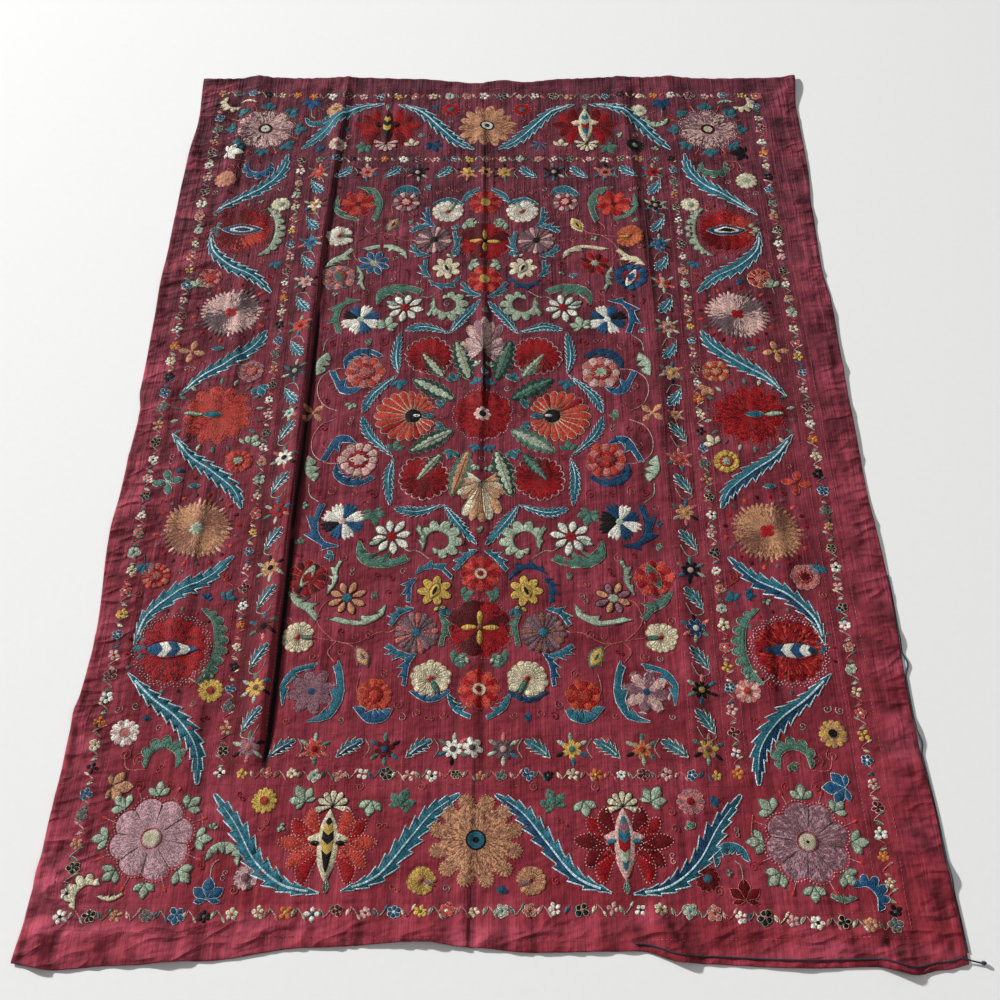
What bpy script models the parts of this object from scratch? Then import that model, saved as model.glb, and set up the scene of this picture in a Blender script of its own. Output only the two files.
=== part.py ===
"""Embroidered bedspread lying spread on a floor: one hemmed sheet and its corner edging braid.

Metres, +Z up. X runs across the bedspread and Y from its foot to its head. The origin lies on the
floor, under the middle of the whole outline.
"""

import math

import bmesh
import bpy

# Cloth and hem
CLOTH_THICKNESS = 0.002
HEM_THICKNESS = 0.003
HEM_WIDTH = 0.013

# The embroidered design's centre, seen from the middle of the outline
DESIGN_X = -0.0407
DESIGN_Y = 0.0093

# Straight lines that the four edges wander about, measured from the design's centre
LEFT_LINE = -0.822
RIGHT_LINE = 0.875
FOOT_LINE = -1.225
HEAD_LINE = 1.222
EDGE_REACH = 0.12  # how far into the cloth an edge's wander is felt

# Edge tables: place along the edge, distance that the edge stands out from its line
LEFT_EDGE = (
    (-1.23, 0.016), (-1.15, 0.008), (-1.05, 0.002), (-0.83, -0.003), (-0.58, -0.015),
    (-0.34, -0.001), (-0.15, -0.006), (0.00, -0.012), (0.08, -0.001), (0.45, 0.003),
    (0.75, 0.004), (1.04, -0.006), (1.23, 0.004),
)
RIGHT_EDGE = (
    (-1.23, 0.014), (-1.00, 0.008), (-0.75, -0.001), (-0.45, 0.004), (-0.20, -0.004),
    (0.10, -0.004), (0.37, 0.000), (0.46, -0.008), (0.70, -0.003), (0.85, 0.007),
    (1.10, 0.008), (1.23, 0.020),
)
FOOT_EDGE = (
    (-0.83, 0.010), (-0.76, 0.022), (-0.65, 0.014), (-0.50, 0.006), (-0.30, -0.018),
    (-0.10, -0.028), (0.00, -0.018), (0.10, -0.010), (0.30, -0.013), (0.38, 0.008),
    (0.60, 0.016), (0.72, 0.013), (0.785, 0.028), (0.83, 0.018), (0.89, 0.006),
)
HEAD_EDGE = (
    (-0.83, 0.002), (-0.74, 0.001), (-0.66, 0.008), (-0.54, 0.002), (-0.41, 0.006),
    (-0.20, 0.000), (-0.03, -0.020), (0.03, -0.010), (0.11, -0.014), (0.22, 0.000),
    (0.39, 0.008), (0.52, 0.006), (0.66, 0.001), (0.78, 0.004), (0.89, 0.012),
)

# Folds and creases. Each row runs from its first end to its second, seen from above.
# Columns: first end x and y, second end x and y, height, width of the soft flank on the left of
# the run, width of the steep flank on its right, sideways bow, length of the fade at each end
FOLDS = (
    # storage fold a quarter of the way across
    (-0.438, -0.93, -0.430, 0.36, 0.0150, 0.050, 0.016, 0.004, 0.16),
    (-0.430, 0.20, -0.400, 1.30, 0.0095, 0.045, 0.018, -0.006, 0.16),
    # storage fold along the middle
    (-0.028, -1.27, -0.006, 0.06, 0.0040, 0.030, 0.026, 0.004, 0.14),
    (-0.006, -0.06, -0.002, 0.40, 0.0105, 0.032, 0.016, 0.002, 0.14),
    (-0.002, 0.26, -0.012, 1.12, 0.0055, 0.030, 0.018, 0.000, 0.14),
    # storage fold at three quarters
    (0.436, -0.98, 0.424, 0.45, 0.0060, 0.045, 0.030, -0.004, 0.16),
    (0.424, 0.29, 0.392, 1.30, 0.0085, 0.045, 0.024, -0.006, 0.16),
    # head margin
    (-0.668, 0.98, -0.664, 1.29, 0.0070, 0.045, 0.040, 0.000, 0.08),
    (0.055, 1.10, 0.050, 1.29, 0.0050, 0.050, 0.050, 0.000, 0.06),
    (0.520, 1.08, 0.530, 1.29, 0.0060, 0.060, 0.060, 0.000, 0.06),
    # puckers drawn in by the stitching of the left border
    (-0.700, 0.62, -0.690, 1.10, 0.0065, 0.040, 0.026, 0.004, 0.12),
    (-0.606, 0.02, -0.612, 0.52, 0.0045, 0.034, 0.026, 0.000, 0.12),
    (-0.640, -0.66, -0.628, -0.18, 0.0055, 0.036, 0.026, 0.004, 0.12),
    (-0.690, -0.40, -0.694, 0.10, 0.0045, 0.034, 0.028, 0.000, 0.12),
    (-0.575, -1.02, -0.566, -0.52, 0.0040, 0.034, 0.028, -0.004, 0.12),
    # puckers of the right border
    (0.640, 0.56, 0.632, 0.98, 0.0050, 0.040, 0.030, -0.004, 0.12),
    (0.700, -0.10, 0.694, 0.44, 0.0045, 0.036, 0.030, 0.000, 0.12),
    (0.575, -0.86, 0.590, -0.44, 0.0050, 0.036, 0.028, 0.006, 0.12),
    (0.660, -0.60, 0.652, -0.18, 0.0055, 0.036, 0.028, 0.000, 0.12),
    # left margin
    (-0.845, 1.06, -0.778, 0.80, 0.0085, 0.032, 0.044, 0.010, 0.06),
    (-0.850, 0.33, -0.790, 0.50, 0.0060, 0.040, 0.040, 0.000, 0.05),
    (-0.845, 0.075, -0.700, -0.004, 0.0065, 0.034, 0.030, 0.004, 0.05),
    (-0.840, -0.36, -0.780, -0.22, 0.0060, 0.038, 0.034, 0.000, 0.05),
    (-0.835, -0.72, -0.750, -0.82, 0.0110, 0.036, 0.028, 0.006, 0.04),
    (-0.850, -1.06, -0.745, -1.105, 0.0100, 0.036, 0.028, 0.004, 0.04),
    (-0.785, -1.28, -0.800, -1.150, 0.0090, 0.040, 0.030, 0.000, 0.05),
    # foot margin
    (-0.745, -1.215, -0.630, -1.165, 0.0060, 0.034, 0.040, 0.004, 0.04),
    (-0.640, -1.165, -0.535, -1.250, 0.0090, 0.036, 0.030, 0.000, 0.04),
    (-0.528, -1.260, -0.520, -1.150, 0.0060, 0.030, 0.024, 0.000, 0.04),
    (-0.455, -1.205, -0.330, -1.165, 0.0055, 0.030, 0.030, 0.004, 0.04),
    (-0.110, -1.270, -0.100, -1.130, 0.0060, 0.110, 0.100, 0.000, 0.06),
    (0.318, -1.115, 0.395, -1.260, 0.0105, 0.036, 0.030, 0.006, 0.04),
    (0.600, -1.270, 0.596, -1.150, 0.0050, 0.090, 0.080, 0.000, 0.06),
    (0.700, -1.160, 0.795, -1.275, 0.0130, 0.040, 0.030, 0.004, 0.04),
    # right margin
    (0.905, 1.26, 0.790, 1.03, 0.0090, 0.046, 0.040, -0.010, 0.05),
    (0.790, 1.08, 0.784, 0.84, 0.0060, 0.036, 0.036, 0.000, 0.06),
    (0.780, 0.70, 0.890, 0.64, 0.0065, 0.036, 0.032, 0.004, 0.05),
    (0.780, 0.30, 0.895, 0.33, 0.0050, 0.040, 0.040, 0.000, 0.05),
    (0.770, -0.01, 0.890, 0.020, 0.0055, 0.030, 0.030, 0.000, 0.05),
    (0.780, -0.50, 0.895, -0.61, 0.0070, 0.036, 0.030, 0.006, 0.05),
    (0.780, -0.77, 0.900, -0.80, 0.0070, 0.036, 0.030, -0.004, 0.05),
    (0.775, -0.93, 0.835, -1.05, 0.0095, 0.036, 0.028, 0.006, 0.05),
    (0.820, -1.03, 0.905, -1.10, 0.0075, 0.034, 0.028, 0.000, 0.04),
)

# Gentle unevenness of cloth that isn't ironed: height, waves across and along, and their phase
SWELLS = (
    (0.0026, 0.41, 0.56, 0.15, 0.30),
    (0.0018, 0.24, -0.35, 0.60, 0.05),
    (0.0012, 0.17, 0.22, 0.35, 0.75),
)
SWELL_FLOOR = 0.0016  # swells lower than this lie flat on the floor
SWELL_SLANT = 0.3  # waves across are shifted by this share of the place along

# Mesh lines: first and last place, and the number of equal steps between them
LINES_ACROSS = (
    (-0.822, -0.809, 1), (-0.809, -0.750, 3), (-0.750, -0.540, 7), (-0.540, -0.480, 2),
    (-0.480, -0.440, 2), (-0.440, -0.416, 3), (-0.416, -0.380, 1), (-0.380, -0.036, 5),
    (-0.036, -0.006, 2), (-0.006, 0.016, 2), (0.016, 0.040, 1), (0.040, 0.380, 5),
    (0.380, 0.428, 2), (0.428, 0.460, 2), (0.460, 0.560, 2), (0.560, 0.760, 6),
    (0.760, 0.862, 5), (0.862, 0.875, 1),
)
LINES_ALONG = (
    (-1.225, -1.212, 1), (-1.212, -1.160, 3), (-1.160, -1.060, 4), (-1.060, -0.480, 11),
    (-0.480, 0.360, 10), (0.360, 1.060, 10), (1.060, 1.209, 4), (1.209, 1.222, 1),
)

# Edging braid
BRAID_RADIUS = 0.0016
BRAID_CLEAR = 0.0009  # space kept between the braid and the cloth's rim
BRAID_STEP = 0.02
SIDE_BRAID = (-1.205, -0.430)  # stretch of the right edge that it runs along
SIDE_TABS = ((-0.640, 0.007, 0.030), (-0.812, 0.005, 0.026))  # place, reach and half length
TAB_THICKENING = 50.0  # share that the braid thickens for each metre that a tab reaches out
FOOT_BRAID = (0.290, 0.863)  # stretch of the foot that it runs along
BRAID_LIFT = 0.0014  # space kept between the braid and the cloth's top
TAIL_LENGTH = 0.034
TAIL_DRIFT = 0.008
TAIL_STEPS = 5
TAIL_SWELLING = 0.2  # share that the tail thickens before its knot
KNOT_RADIUS = 0.0045
KNOT_LENGTH = 0.010
KNOT_STEPS = 6
KNOT_START, KNOT_SPAN = 0.12, 0.80  # shares of a half wave that round the knot's ends

CLOTH_COLOUR = (0.30, 0.022, 0.042, 1.0)
BRAID_COLOUR = (0.006, 0.020, 0.024, 1.0)


def smooth(t):
    """Zero to one with level ends."""
    t = min(1.0, max(0.0, t))
    return t * t * (3.0 - 2.0 * t)


def wander(rows, place):
    """An edge's distance from its line at a place along it."""
    if place <= rows[0][0]:
        return rows[0][1]
    for (start, first), (end, second) in zip(rows, rows[1:]):
        if place <= end:
            return first + (second - first) * smooth((place - start) / (end - start))
    return rows[-1][1]


def outline(x, y):
    """Moves a point of the straight-edged sheet to where the real outline puts it."""
    near_left = smooth(1.0 - (x - LEFT_LINE) / EDGE_REACH)
    near_right = smooth(1.0 - (RIGHT_LINE - x) / EDGE_REACH)
    near_foot = smooth(1.0 - (y - FOOT_LINE) / EDGE_REACH)
    near_head = smooth(1.0 - (HEAD_LINE - y) / EDGE_REACH)
    moved_x = x - near_left * wander(LEFT_EDGE, y) + near_right * wander(RIGHT_EDGE, y)
    moved_y = y - near_foot * wander(FOOT_EDGE, x) + near_head * wander(HEAD_EDGE, x)
    return moved_x, moved_y


def fold_height(row, x, y):
    """Height that one fold adds at a point."""
    x1, y1, x2, y2, height, soft, steep, bow, fade = row
    run_x, run_y = x2 - x1, y2 - y1
    length = math.hypot(run_x, run_y)
    run_x, run_y = run_x / length, run_y / length
    along = (x - x1) * run_x + (y - y1) * run_y
    if along <= 0.0 or along >= length:
        return 0.0
    t = along / length
    bowed = 4.0 * t * (1.0 - t)  # none at the ends, one in the middle
    aside = (x - x1) * run_y - (y - y1) * run_x - bow * bowed
    flank = 1.0 - abs(aside) / (steep if aside > 0.0 else soft)
    ends = smooth(along / fade) * smooth((length - along) / fade)
    return height * smooth(flank) * ends


def swell_height(x, y):
    total = 0.0
    for height, across, along, phase_x, phase_y in SWELLS:
        wave = math.sin(2.0 * math.pi * (x / across + phase_x + SWELL_SLANT * y))
        total += height * wave * math.sin(2.0 * math.pi * (y / along + phase_y))
    return max(0.0, total - SWELL_FLOOR)


def cloth_height(x, y):
    """Height of the cloth's underside above the floor."""
    return swell_height(x, y) + sum(fold_height(row, x, y) for row in FOLDS)


def mesh_lines(runs):
    """Places of the mesh lines, from rows of first place, last place and steps."""
    places = [runs[0][0]]
    for first, last, steps in runs:
        places += [first + (last - first) * i / steps for i in range(1, steps + 1)]
    return places


def fabric_material(name, colour, roughness):
    material = bpy.data.materials.new(name)
    material.use_nodes = True
    surface = material.node_tree.nodes["Principled BSDF"]
    surface.inputs["Base Color"].default_value = colour
    surface.inputs["Roughness"].default_value = roughness
    surface.inputs["Metallic"].default_value = 0.0
    return material


def clear_scene():
    for item in list(bpy.data.objects):
        bpy.data.objects.remove(item, do_unlink=True)


def add_cloth(collection):
    """The sheet: an open grid bent to the outline and folds, thickened upwards."""
    across = mesh_lines(LINES_ACROSS)
    along = mesh_lines(LINES_ALONG)
    sheet = bmesh.new()
    bmesh.ops.create_grid(
        sheet, x_segments=len(across) - 1, y_segments=len(along) - 1, size=1.0
    )
    mesh = bpy.data.meshes.new("bedspread_cloth")
    cloth = bpy.data.objects.new("bedspread_cloth", mesh)
    hem = []
    for vert in sheet.verts:
        column = round((vert.co.x + 1.0) / 2.0 * (len(across) - 1))
        row = round((vert.co.y + 1.0) / 2.0 * (len(along) - 1))
        x, y = outline(across[column], along[row])
        if column in (0, len(across) - 1) or row in (0, len(along) - 1):
            hem.append(vert.index)
        vert.co = (x + DESIGN_X, y + DESIGN_Y, cloth_height(x, y))
    sheet.to_mesh(mesh)
    sheet.free()
    mesh.shade_smooth()
    cloth.vertex_groups.new(name="hem").add(hem, 1.0, "REPLACE")
    body = cloth.modifiers.new("body", "SOLIDIFY")
    body.thickness = HEM_THICKNESS
    body.offset = 1.0
    body.vertex_group = "hem"
    body.thickness_vertex_group = CLOTH_THICKNESS / HEM_THICKNESS
    mesh.materials.append(fabric_material("crimson cotton", CLOTH_COLOUR, 0.85))
    collection.objects.link(cloth)


def braid_object(name, points, material, collection):
    """A braid along rows of x, y, z and radius."""
    curve = bpy.data.curves.new(name, "CURVE")
    curve.dimensions = "3D"
    curve.bevel_depth = 1.0
    curve.bevel_resolution = 2
    curve.use_fill_caps = True
    spline = curve.splines.new("POLY")
    spline.points.add(len(points) - 1)
    for point, (x, y, z, radius) in zip(spline.points, points):
        point.co = (x + DESIGN_X, y + DESIGN_Y, z, 1.0)
        point.radius = radius
    curve.materials.append(material)
    collection.objects.link(bpy.data.objects.new(name, curve))


def side_braid_points():
    """Down the right-hand edge, just outside the rim."""
    first, last = SIDE_BRAID
    steps = round((last - first) / BRAID_STEP)
    points = []
    for i in range(steps + 1):
        line_y = first + (last - first) * i / steps
        x, y = outline(RIGHT_LINE, line_y)
        reach = sum(
            out * smooth(1.0 - abs(line_y - place) / half) for place, out, half in SIDE_TABS
        )
        radius = BRAID_RADIUS * (1.0 + TAB_THICKENING * reach)
        height = cloth_height(x, y) + radius
        points.append((x + BRAID_CLEAR + radius + reach, y, height, radius))
    return points


def foot_braid_points():
    """On top of the hem's inner line, then past the corner into its knot."""
    first, last = FOOT_BRAID
    points = []
    for line_x in mesh_lines(LINES_ACROSS):
        if first <= line_x <= last:
            x, y = outline(line_x, FOOT_LINE + HEM_WIDTH)
            height = cloth_height(x, y) + CLOTH_THICKNESS + BRAID_LIFT + BRAID_RADIUS
            points.append((x, y, height, BRAID_RADIUS))
    x, y, height, _ = points[-1]
    for i in range(1, TAIL_STEPS + 1):
        share = i / TAIL_STEPS
        drop = (height - KNOT_RADIUS) * smooth(share)
        radius = BRAID_RADIUS * (1.0 + TAIL_SWELLING * share)
        points.append((x + TAIL_LENGTH * share, y - TAIL_DRIFT * share, height - drop, radius))
    x, y, height, _ = points[-1]
    for i in range(1, KNOT_STEPS + 1):
        share = i / KNOT_STEPS
        radius = KNOT_RADIUS * math.sin(math.pi * (KNOT_START + KNOT_SPAN * share))
        points.append((x + KNOT_LENGTH * share, y, height, radius))
    return points


def main():
    clear_scene()
    collection = bpy.data.collections.new("embroidered bedspread")
    bpy.context.scene.collection.children.link(collection)
    add_cloth(collection)
    braid = fabric_material("blue-green braid", BRAID_COLOUR, 0.8)
    braid_object("edging_side", side_braid_points(), braid, collection)
    braid_object("edging_foot", foot_braid_points(), braid, collection)


main()
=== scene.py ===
import math
import random

import bmesh
import bpy
import numpy as np
from mathutils import Matrix, Vector
from mathutils.bvhtree import BVHTree


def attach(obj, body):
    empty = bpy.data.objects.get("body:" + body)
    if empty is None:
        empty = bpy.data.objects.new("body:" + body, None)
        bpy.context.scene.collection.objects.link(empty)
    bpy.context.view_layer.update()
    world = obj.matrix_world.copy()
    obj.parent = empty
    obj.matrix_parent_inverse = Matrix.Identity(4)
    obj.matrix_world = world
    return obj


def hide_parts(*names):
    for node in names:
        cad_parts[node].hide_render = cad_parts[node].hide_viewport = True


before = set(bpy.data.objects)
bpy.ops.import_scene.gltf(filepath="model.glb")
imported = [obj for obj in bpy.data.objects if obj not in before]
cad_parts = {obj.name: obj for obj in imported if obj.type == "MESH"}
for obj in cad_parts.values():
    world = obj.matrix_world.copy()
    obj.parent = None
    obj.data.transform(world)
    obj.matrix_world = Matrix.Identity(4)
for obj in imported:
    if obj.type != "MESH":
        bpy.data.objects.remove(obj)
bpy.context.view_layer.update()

# Embroidered bedspread laid out on a floor: a crimson ground worked all over with silk flowers,
# a rolled hem and a dark braid along one corner. Metres, +Z up, X across and Y from foot to head.

bl_info = {
    "name": "Embroidered bedspread",
    "version": (1, 0, 0),
    "blender": (4, 5, 0),
    "location": "3D View > Sidebar > Bedspread",
    "description": "Lays out an embroidered bedspread with its silk flowers, hem and edging braid",
    "category": "Object",
}

BODY = "root"
CLOTH_PIECE = "laid_cloth"

# The embroidered design's centre, seen from the middle of the outline
DESIGN_X = -0.0407
DESIGN_Y = 0.0093

# Cloth and hem
CLOTH_THICKNESS = 0.002
HEM_WIDTH = 0.013
HEM_PROUD = 0.0012
HEM_PITCH = 0.016  # pucker of the hem's stitches

# Straight lines that the four edges wander about, measured from the design's centre
LEFT_LINE = -0.822
RIGHT_LINE = 0.875
FOOT_LINE = -1.225
HEAD_LINE = 1.222
EDGE_REACH = 0.12  # how far into the cloth an edge's wander is felt

# Edge tables: place along the edge, distance that the edge stands out from its line
LEFT_EDGE = (
    (-1.23, 0.016), (-1.15, 0.008), (-1.05, 0.002), (-0.83, -0.003), (-0.58, -0.015),
    (-0.34, -0.001), (-0.15, -0.006), (0.0, -0.012), (0.08, -0.001), (0.45, 0.003), (0.75, 0.004),
    (1.04, -0.006), (1.23, 0.004),
)
RIGHT_EDGE = (
    (-1.23, 0.014), (-1.0, 0.008), (-0.75, -0.001), (-0.45, 0.004), (-0.2, -0.004), (0.1, -0.004),
    (0.37, 0.0), (0.46, -0.008), (0.7, -0.003), (0.85, 0.007), (1.1, 0.008), (1.23, 0.02),
)
FOOT_EDGE = (
    (-0.83, 0.01), (-0.76, 0.022), (-0.65, 0.014), (-0.5, 0.006), (-0.3, -0.018), (-0.1, -0.028),
    (0.0, -0.018), (0.1, -0.01), (0.3, -0.013), (0.38, 0.008), (0.6, 0.016), (0.72, 0.013),
    (0.785, 0.028), (0.83, 0.018), (0.89, 0.006),
)
HEAD_EDGE = (
    (-0.83, 0.002), (-0.74, 0.001), (-0.66, 0.008), (-0.54, 0.002), (-0.41, 0.006), (-0.2, 0.0),
    (-0.03, -0.02), (0.03, -0.01), (0.11, -0.014), (0.22, 0.0), (0.39, 0.008), (0.52, 0.006),
    (0.66, 0.001), (0.78, 0.004), (0.89, 0.012),
)

# Folds and creases. Each row runs from its first end to its second, seen from above.
# Columns: first end x and y, second end x and y, height, width of the soft flank on the left of
# the run, width of the steep flank on its right, sideways bow, length of the fade at each end
FOLDS = (
    (-0.438, -0.93, -0.43, 0.36, 0.015, 0.05, 0.016, 0.004, 0.16),
    (-0.43, 0.2, -0.4, 1.3, 0.0095, 0.045, 0.018, -0.006, 0.16),
    (-0.028, -1.27, -0.006, 0.06, 0.004, 0.03, 0.026, 0.004, 0.14),
    (-0.006, -0.06, -0.002, 0.4, 0.0105, 0.032, 0.016, 0.002, 0.14),
    (-0.002, 0.26, -0.012, 1.12, 0.0055, 0.03, 0.018, 0.0, 0.14),
    (0.436, -0.98, 0.424, 0.45, 0.006, 0.045, 0.03, -0.004, 0.16),
    (0.424, 0.29, 0.392, 1.3, 0.0085, 0.045, 0.024, -0.006, 0.16),
    (-0.668, 0.98, -0.664, 1.29, 0.007, 0.045, 0.04, 0.0, 0.08),
    (0.055, 1.1, 0.05, 1.29, 0.005, 0.05, 0.05, 0.0, 0.06),
    (0.52, 1.08, 0.53, 1.29, 0.006, 0.06, 0.06, 0.0, 0.06),
    (-0.7, 0.62, -0.69, 1.1, 0.0065, 0.04, 0.026, 0.004, 0.12),
    (-0.606, 0.02, -0.612, 0.52, 0.0045, 0.034, 0.026, 0.0, 0.12),
    (-0.64, -0.66, -0.628, -0.18, 0.0055, 0.036, 0.026, 0.004, 0.12),
    (-0.69, -0.4, -0.694, 0.1, 0.0045, 0.034, 0.028, 0.0, 0.12),
    (-0.575, -1.02, -0.566, -0.52, 0.004, 0.034, 0.028, -0.004, 0.12),
    (0.64, 0.56, 0.632, 0.98, 0.005, 0.04, 0.03, -0.004, 0.12),
    (0.7, -0.1, 0.694, 0.44, 0.0045, 0.036, 0.03, 0.0, 0.12),
    (0.575, -0.86, 0.59, -0.44, 0.005, 0.036, 0.028, 0.006, 0.12),
    (0.66, -0.6, 0.652, -0.18, 0.0055, 0.036, 0.028, 0.0, 0.12),
    (-0.845, 1.06, -0.778, 0.8, 0.0085, 0.032, 0.044, 0.01, 0.06),
    (-0.85, 0.33, -0.79, 0.5, 0.006, 0.04, 0.04, 0.0, 0.05),
    (-0.845, 0.075, -0.7, -0.004, 0.0065, 0.034, 0.03, 0.004, 0.05),
    (-0.84, -0.36, -0.78, -0.22, 0.006, 0.038, 0.034, 0.0, 0.05),
    (-0.835, -0.72, -0.75, -0.82, 0.011, 0.036, 0.028, 0.006, 0.04),
    (-0.85, -1.06, -0.745, -1.105, 0.01, 0.036, 0.028, 0.004, 0.04),
    (-0.785, -1.28, -0.8, -1.15, 0.009, 0.04, 0.03, 0.0, 0.05),
    (-0.745, -1.215, -0.63, -1.165, 0.006, 0.034, 0.04, 0.004, 0.04),
    (-0.64, -1.165, -0.535, -1.25, 0.009, 0.036, 0.03, 0.0, 0.04),
    (-0.528, -1.26, -0.52, -1.15, 0.006, 0.03, 0.024, 0.0, 0.04),
    (-0.455, -1.205, -0.33, -1.165, 0.0055, 0.03, 0.03, 0.004, 0.04),
    (-0.11, -1.27, -0.1, -1.13, 0.006, 0.11, 0.1, 0.0, 0.06),
    (0.318, -1.115, 0.395, -1.26, 0.0105, 0.036, 0.03, 0.006, 0.04),
    (0.6, -1.27, 0.596, -1.15, 0.005, 0.09, 0.08, 0.0, 0.06),
    (0.7, -1.16, 0.795, -1.275, 0.013, 0.04, 0.03, 0.004, 0.04),
    (0.905, 1.26, 0.79, 1.03, 0.009, 0.046, 0.04, -0.01, 0.05),
    (0.79, 1.08, 0.784, 0.84, 0.006, 0.036, 0.036, 0.0, 0.06),
    (0.78, 0.7, 0.89, 0.64, 0.0065, 0.036, 0.032, 0.004, 0.05),
    (0.78, 0.3, 0.895, 0.33, 0.005, 0.04, 0.04, 0.0, 0.05),
    (0.77, -0.01, 0.89, 0.02, 0.0055, 0.03, 0.03, 0.0, 0.05),
    (0.78, -0.5, 0.895, -0.61, 0.007, 0.036, 0.03, 0.006, 0.05),
    (0.78, -0.77, 0.9, -0.8, 0.007, 0.036, 0.03, -0.004, 0.05),
    (0.775, -0.93, 0.835, -1.05, 0.0095, 0.036, 0.028, 0.006, 0.05),
    (0.82, -1.03, 0.905, -1.1, 0.0075, 0.034, 0.028, 0.0, 0.04),
)

# Gentle unevenness of cloth that isn't ironed: height, waves across and along, and their phase
SWELLS = (
    (0.0026, 0.41, 0.56, 0.15, 0.3),
    (0.0018, 0.24, -0.35, 0.6, 0.05),
    (0.0012, 0.17, 0.22, 0.35, 0.75),
)
SWELL_FLOOR = 0.0016
SWELL_SLANT = 0.3

# Fine lengthwise puckers: height, pitch across, pitch along, slant and phase
RIPPLES = (
    (0.00055, 0.029, 0.43, 0.9, 0.1),
    (0.0004, 0.023, 0.29, -1.3, 0.55),
    (0.0006, 0.051, 0.21, 1.7, 0.8),
)

# Sharp creases beside the folds, dented in and painted dark as fold shadow: both ends, depth, half
# width at either side, bow and fade
CREASES = (
    (-0.421, -0.9, -0.417, -0.3, 1.0, 0.009, 0.01, 0.003, 0.06),
    (-0.419, -0.36, -0.413, 0.36, 0.9, 0.007, 0.008, 0.002, 0.06),
    (-0.414, 0.3, -0.398, 1.1, 0.45, 0.006, 0.007, -0.002, 0.1),
    (0.003, 0.03, 0.003, 0.22, 1.0, 0.005, 0.005, 0.0, 0.02),
    (0.002, -0.2, 0.003, 0.08, 0.4, 0.006, 0.006, 0.0, 0.04),
    (-0.016, -1.25, -0.006, -0.76, 0.4, 0.006, 0.006, 0.002, 0.06),
    (0.004, 0.36, -0.002, 1.1, 0.4, 0.006, 0.006, -0.002, 0.08),
    (0.424, -0.3, 0.428, 0.5, 0.42, 0.006, 0.007, 0.002, 0.08),
    (0.418, 0.45, 0.398, 1.1, 0.5, 0.006, 0.007, 0.002, 0.08),
    (0.452, -0.9, 0.446, -0.34, 0.3, 0.006, 0.008, 0.0, 0.08),
    (-0.592, 0.04, -0.598, 0.44, 0.62, 0.006, 0.007, 0.002, 0.05),
    (-0.622, -0.44, -0.616, -0.16, 0.7, 0.006, 0.007, 0.002, 0.05),
    (-0.612, -0.78, -0.618, -0.54, 0.35, 0.006, 0.006, 0.0, 0.05),
    (-0.676, 0.72, -0.672, 1.05, 0.6, 0.006, 0.007, 0.002, 0.05),
    (-0.68, -0.36, -0.684, 0.02, 0.4, 0.006, 0.006, 0.001, 0.05),
    (-0.56, -0.96, -0.554, -0.56, 0.3, 0.006, 0.006, 0.0, 0.05),
    (0.652, 0.58, 0.646, 0.92, 0.35, 0.006, 0.006, 0.0, 0.05),
    (0.604, -0.8, 0.612, -0.46, 0.35, 0.006, 0.006, 0.0, 0.05),
    (0.674, -0.52, 0.668, -0.22, 0.45, 0.006, 0.006, 0.001, 0.05),
    (-0.806, -0.735, -0.748, -0.8, 0.55, 0.007, 0.007, 0.003, 0.02),
    (-0.812, -1.048, -0.748, -1.094, 0.6, 0.007, 0.007, 0.002, 0.02),
    (0.33, -1.12, 0.398, -1.236, 0.7, 0.008, 0.008, 0.003, 0.03),
    (0.715, -1.165, 0.786, -1.238, 0.7, 0.008, 0.008, 0.002, 0.03),
    (-0.302, -1.21, -0.296, -1.1, 0.3, 0.006, 0.006, 0.0, 0.03),
    (0.305, -1.18, 0.3, -0.9, 0.3, 0.006, 0.006, 0.001, 0.05),
)
CREASE_DEPTH = 0.0016
PUCKERING = 1.5
SIDE_WRINKLE_PITCH = 0.058
END_WRINKLE_PITCH = 0.068
CREASE_LINES = (-0.419, 0.002, 0.424)  # where the cloth's mesh lines lie closer together
CREASE_REACH = 0.017
CREASE_PITCH = 0.0034
LEAST_PITCH = 0.0016
HEM_STEPS = (0.0, 0.18, 0.5, 0.85, 1.1)  # mesh lines across the hem, as shares of its width
VALLEY_CELLS = (3, 5)  # mesh cells each way, along and across, that a valley is measured against
VALLEY_DEPTH = 0.006
VALLEY_RANGE = (-0.25, 0.3)

# Dyed threads and their colours, as bytes of red, green and blue
THREADS = (
    ("crimson", (152, 18, 25)), ("wine", (100, 8, 16)), ("darkred", (84, 10, 16)),
    ("coral", (190, 66, 52)), ("rose", (196, 112, 104)), ("pink", (212, 172, 164)),
    ("mauve", (140, 98, 108)), ("lilac", (182, 142, 148)), ("grey", (104, 84, 86)),
    ("tan", (194, 140, 104)), ("brown", (140, 92, 74)), ("orange", (204, 112, 56)),
    ("yellow", (206, 170, 84)), ("cream", (218, 208, 176)), ("white", (232, 228, 214)),
    ("black", (20, 16, 18)), ("navy", (26, 66, 96)), ("blue", (34, 82, 120)),
    ("teal", (42, 106, 124)), ("ice", (192, 220, 224)), ("green", (80, 118, 102)),
    ("moss", (40, 66, 58)), ("sage", (168, 182, 158)),
)
SILK = "embroidery silk"
THREAD_NUMBER = {name: number for number, (name, _) in enumerate(THREADS)}

# Sewing: where a closed line's last point lies, in degrees, the smallest pointed flower with five
# petals, and the two sides of the design
RING_END = 340.0
LEAST_FIVE_PETALLED = 0.037
SIDES = (-1.0, 1.0)

# Tendrils strewn over bare ground: cell that one point of thread takes up, tries for each, range
# of sizes, distance kept from the box's edge, share of small leaves and least size of a double curl
FILL_CELL = 0.004
FILL_TRIES = 60
FILL_RADII = (0.007, 0.0145)
FILL_INSET = 0.02
LEAFY_SHARE = 0.25
LEAST_DOUBLE_CURL = 0.01

# Running stitches
DASH_LENGTH = 0.005
DASH_GAP = 0.003

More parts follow.
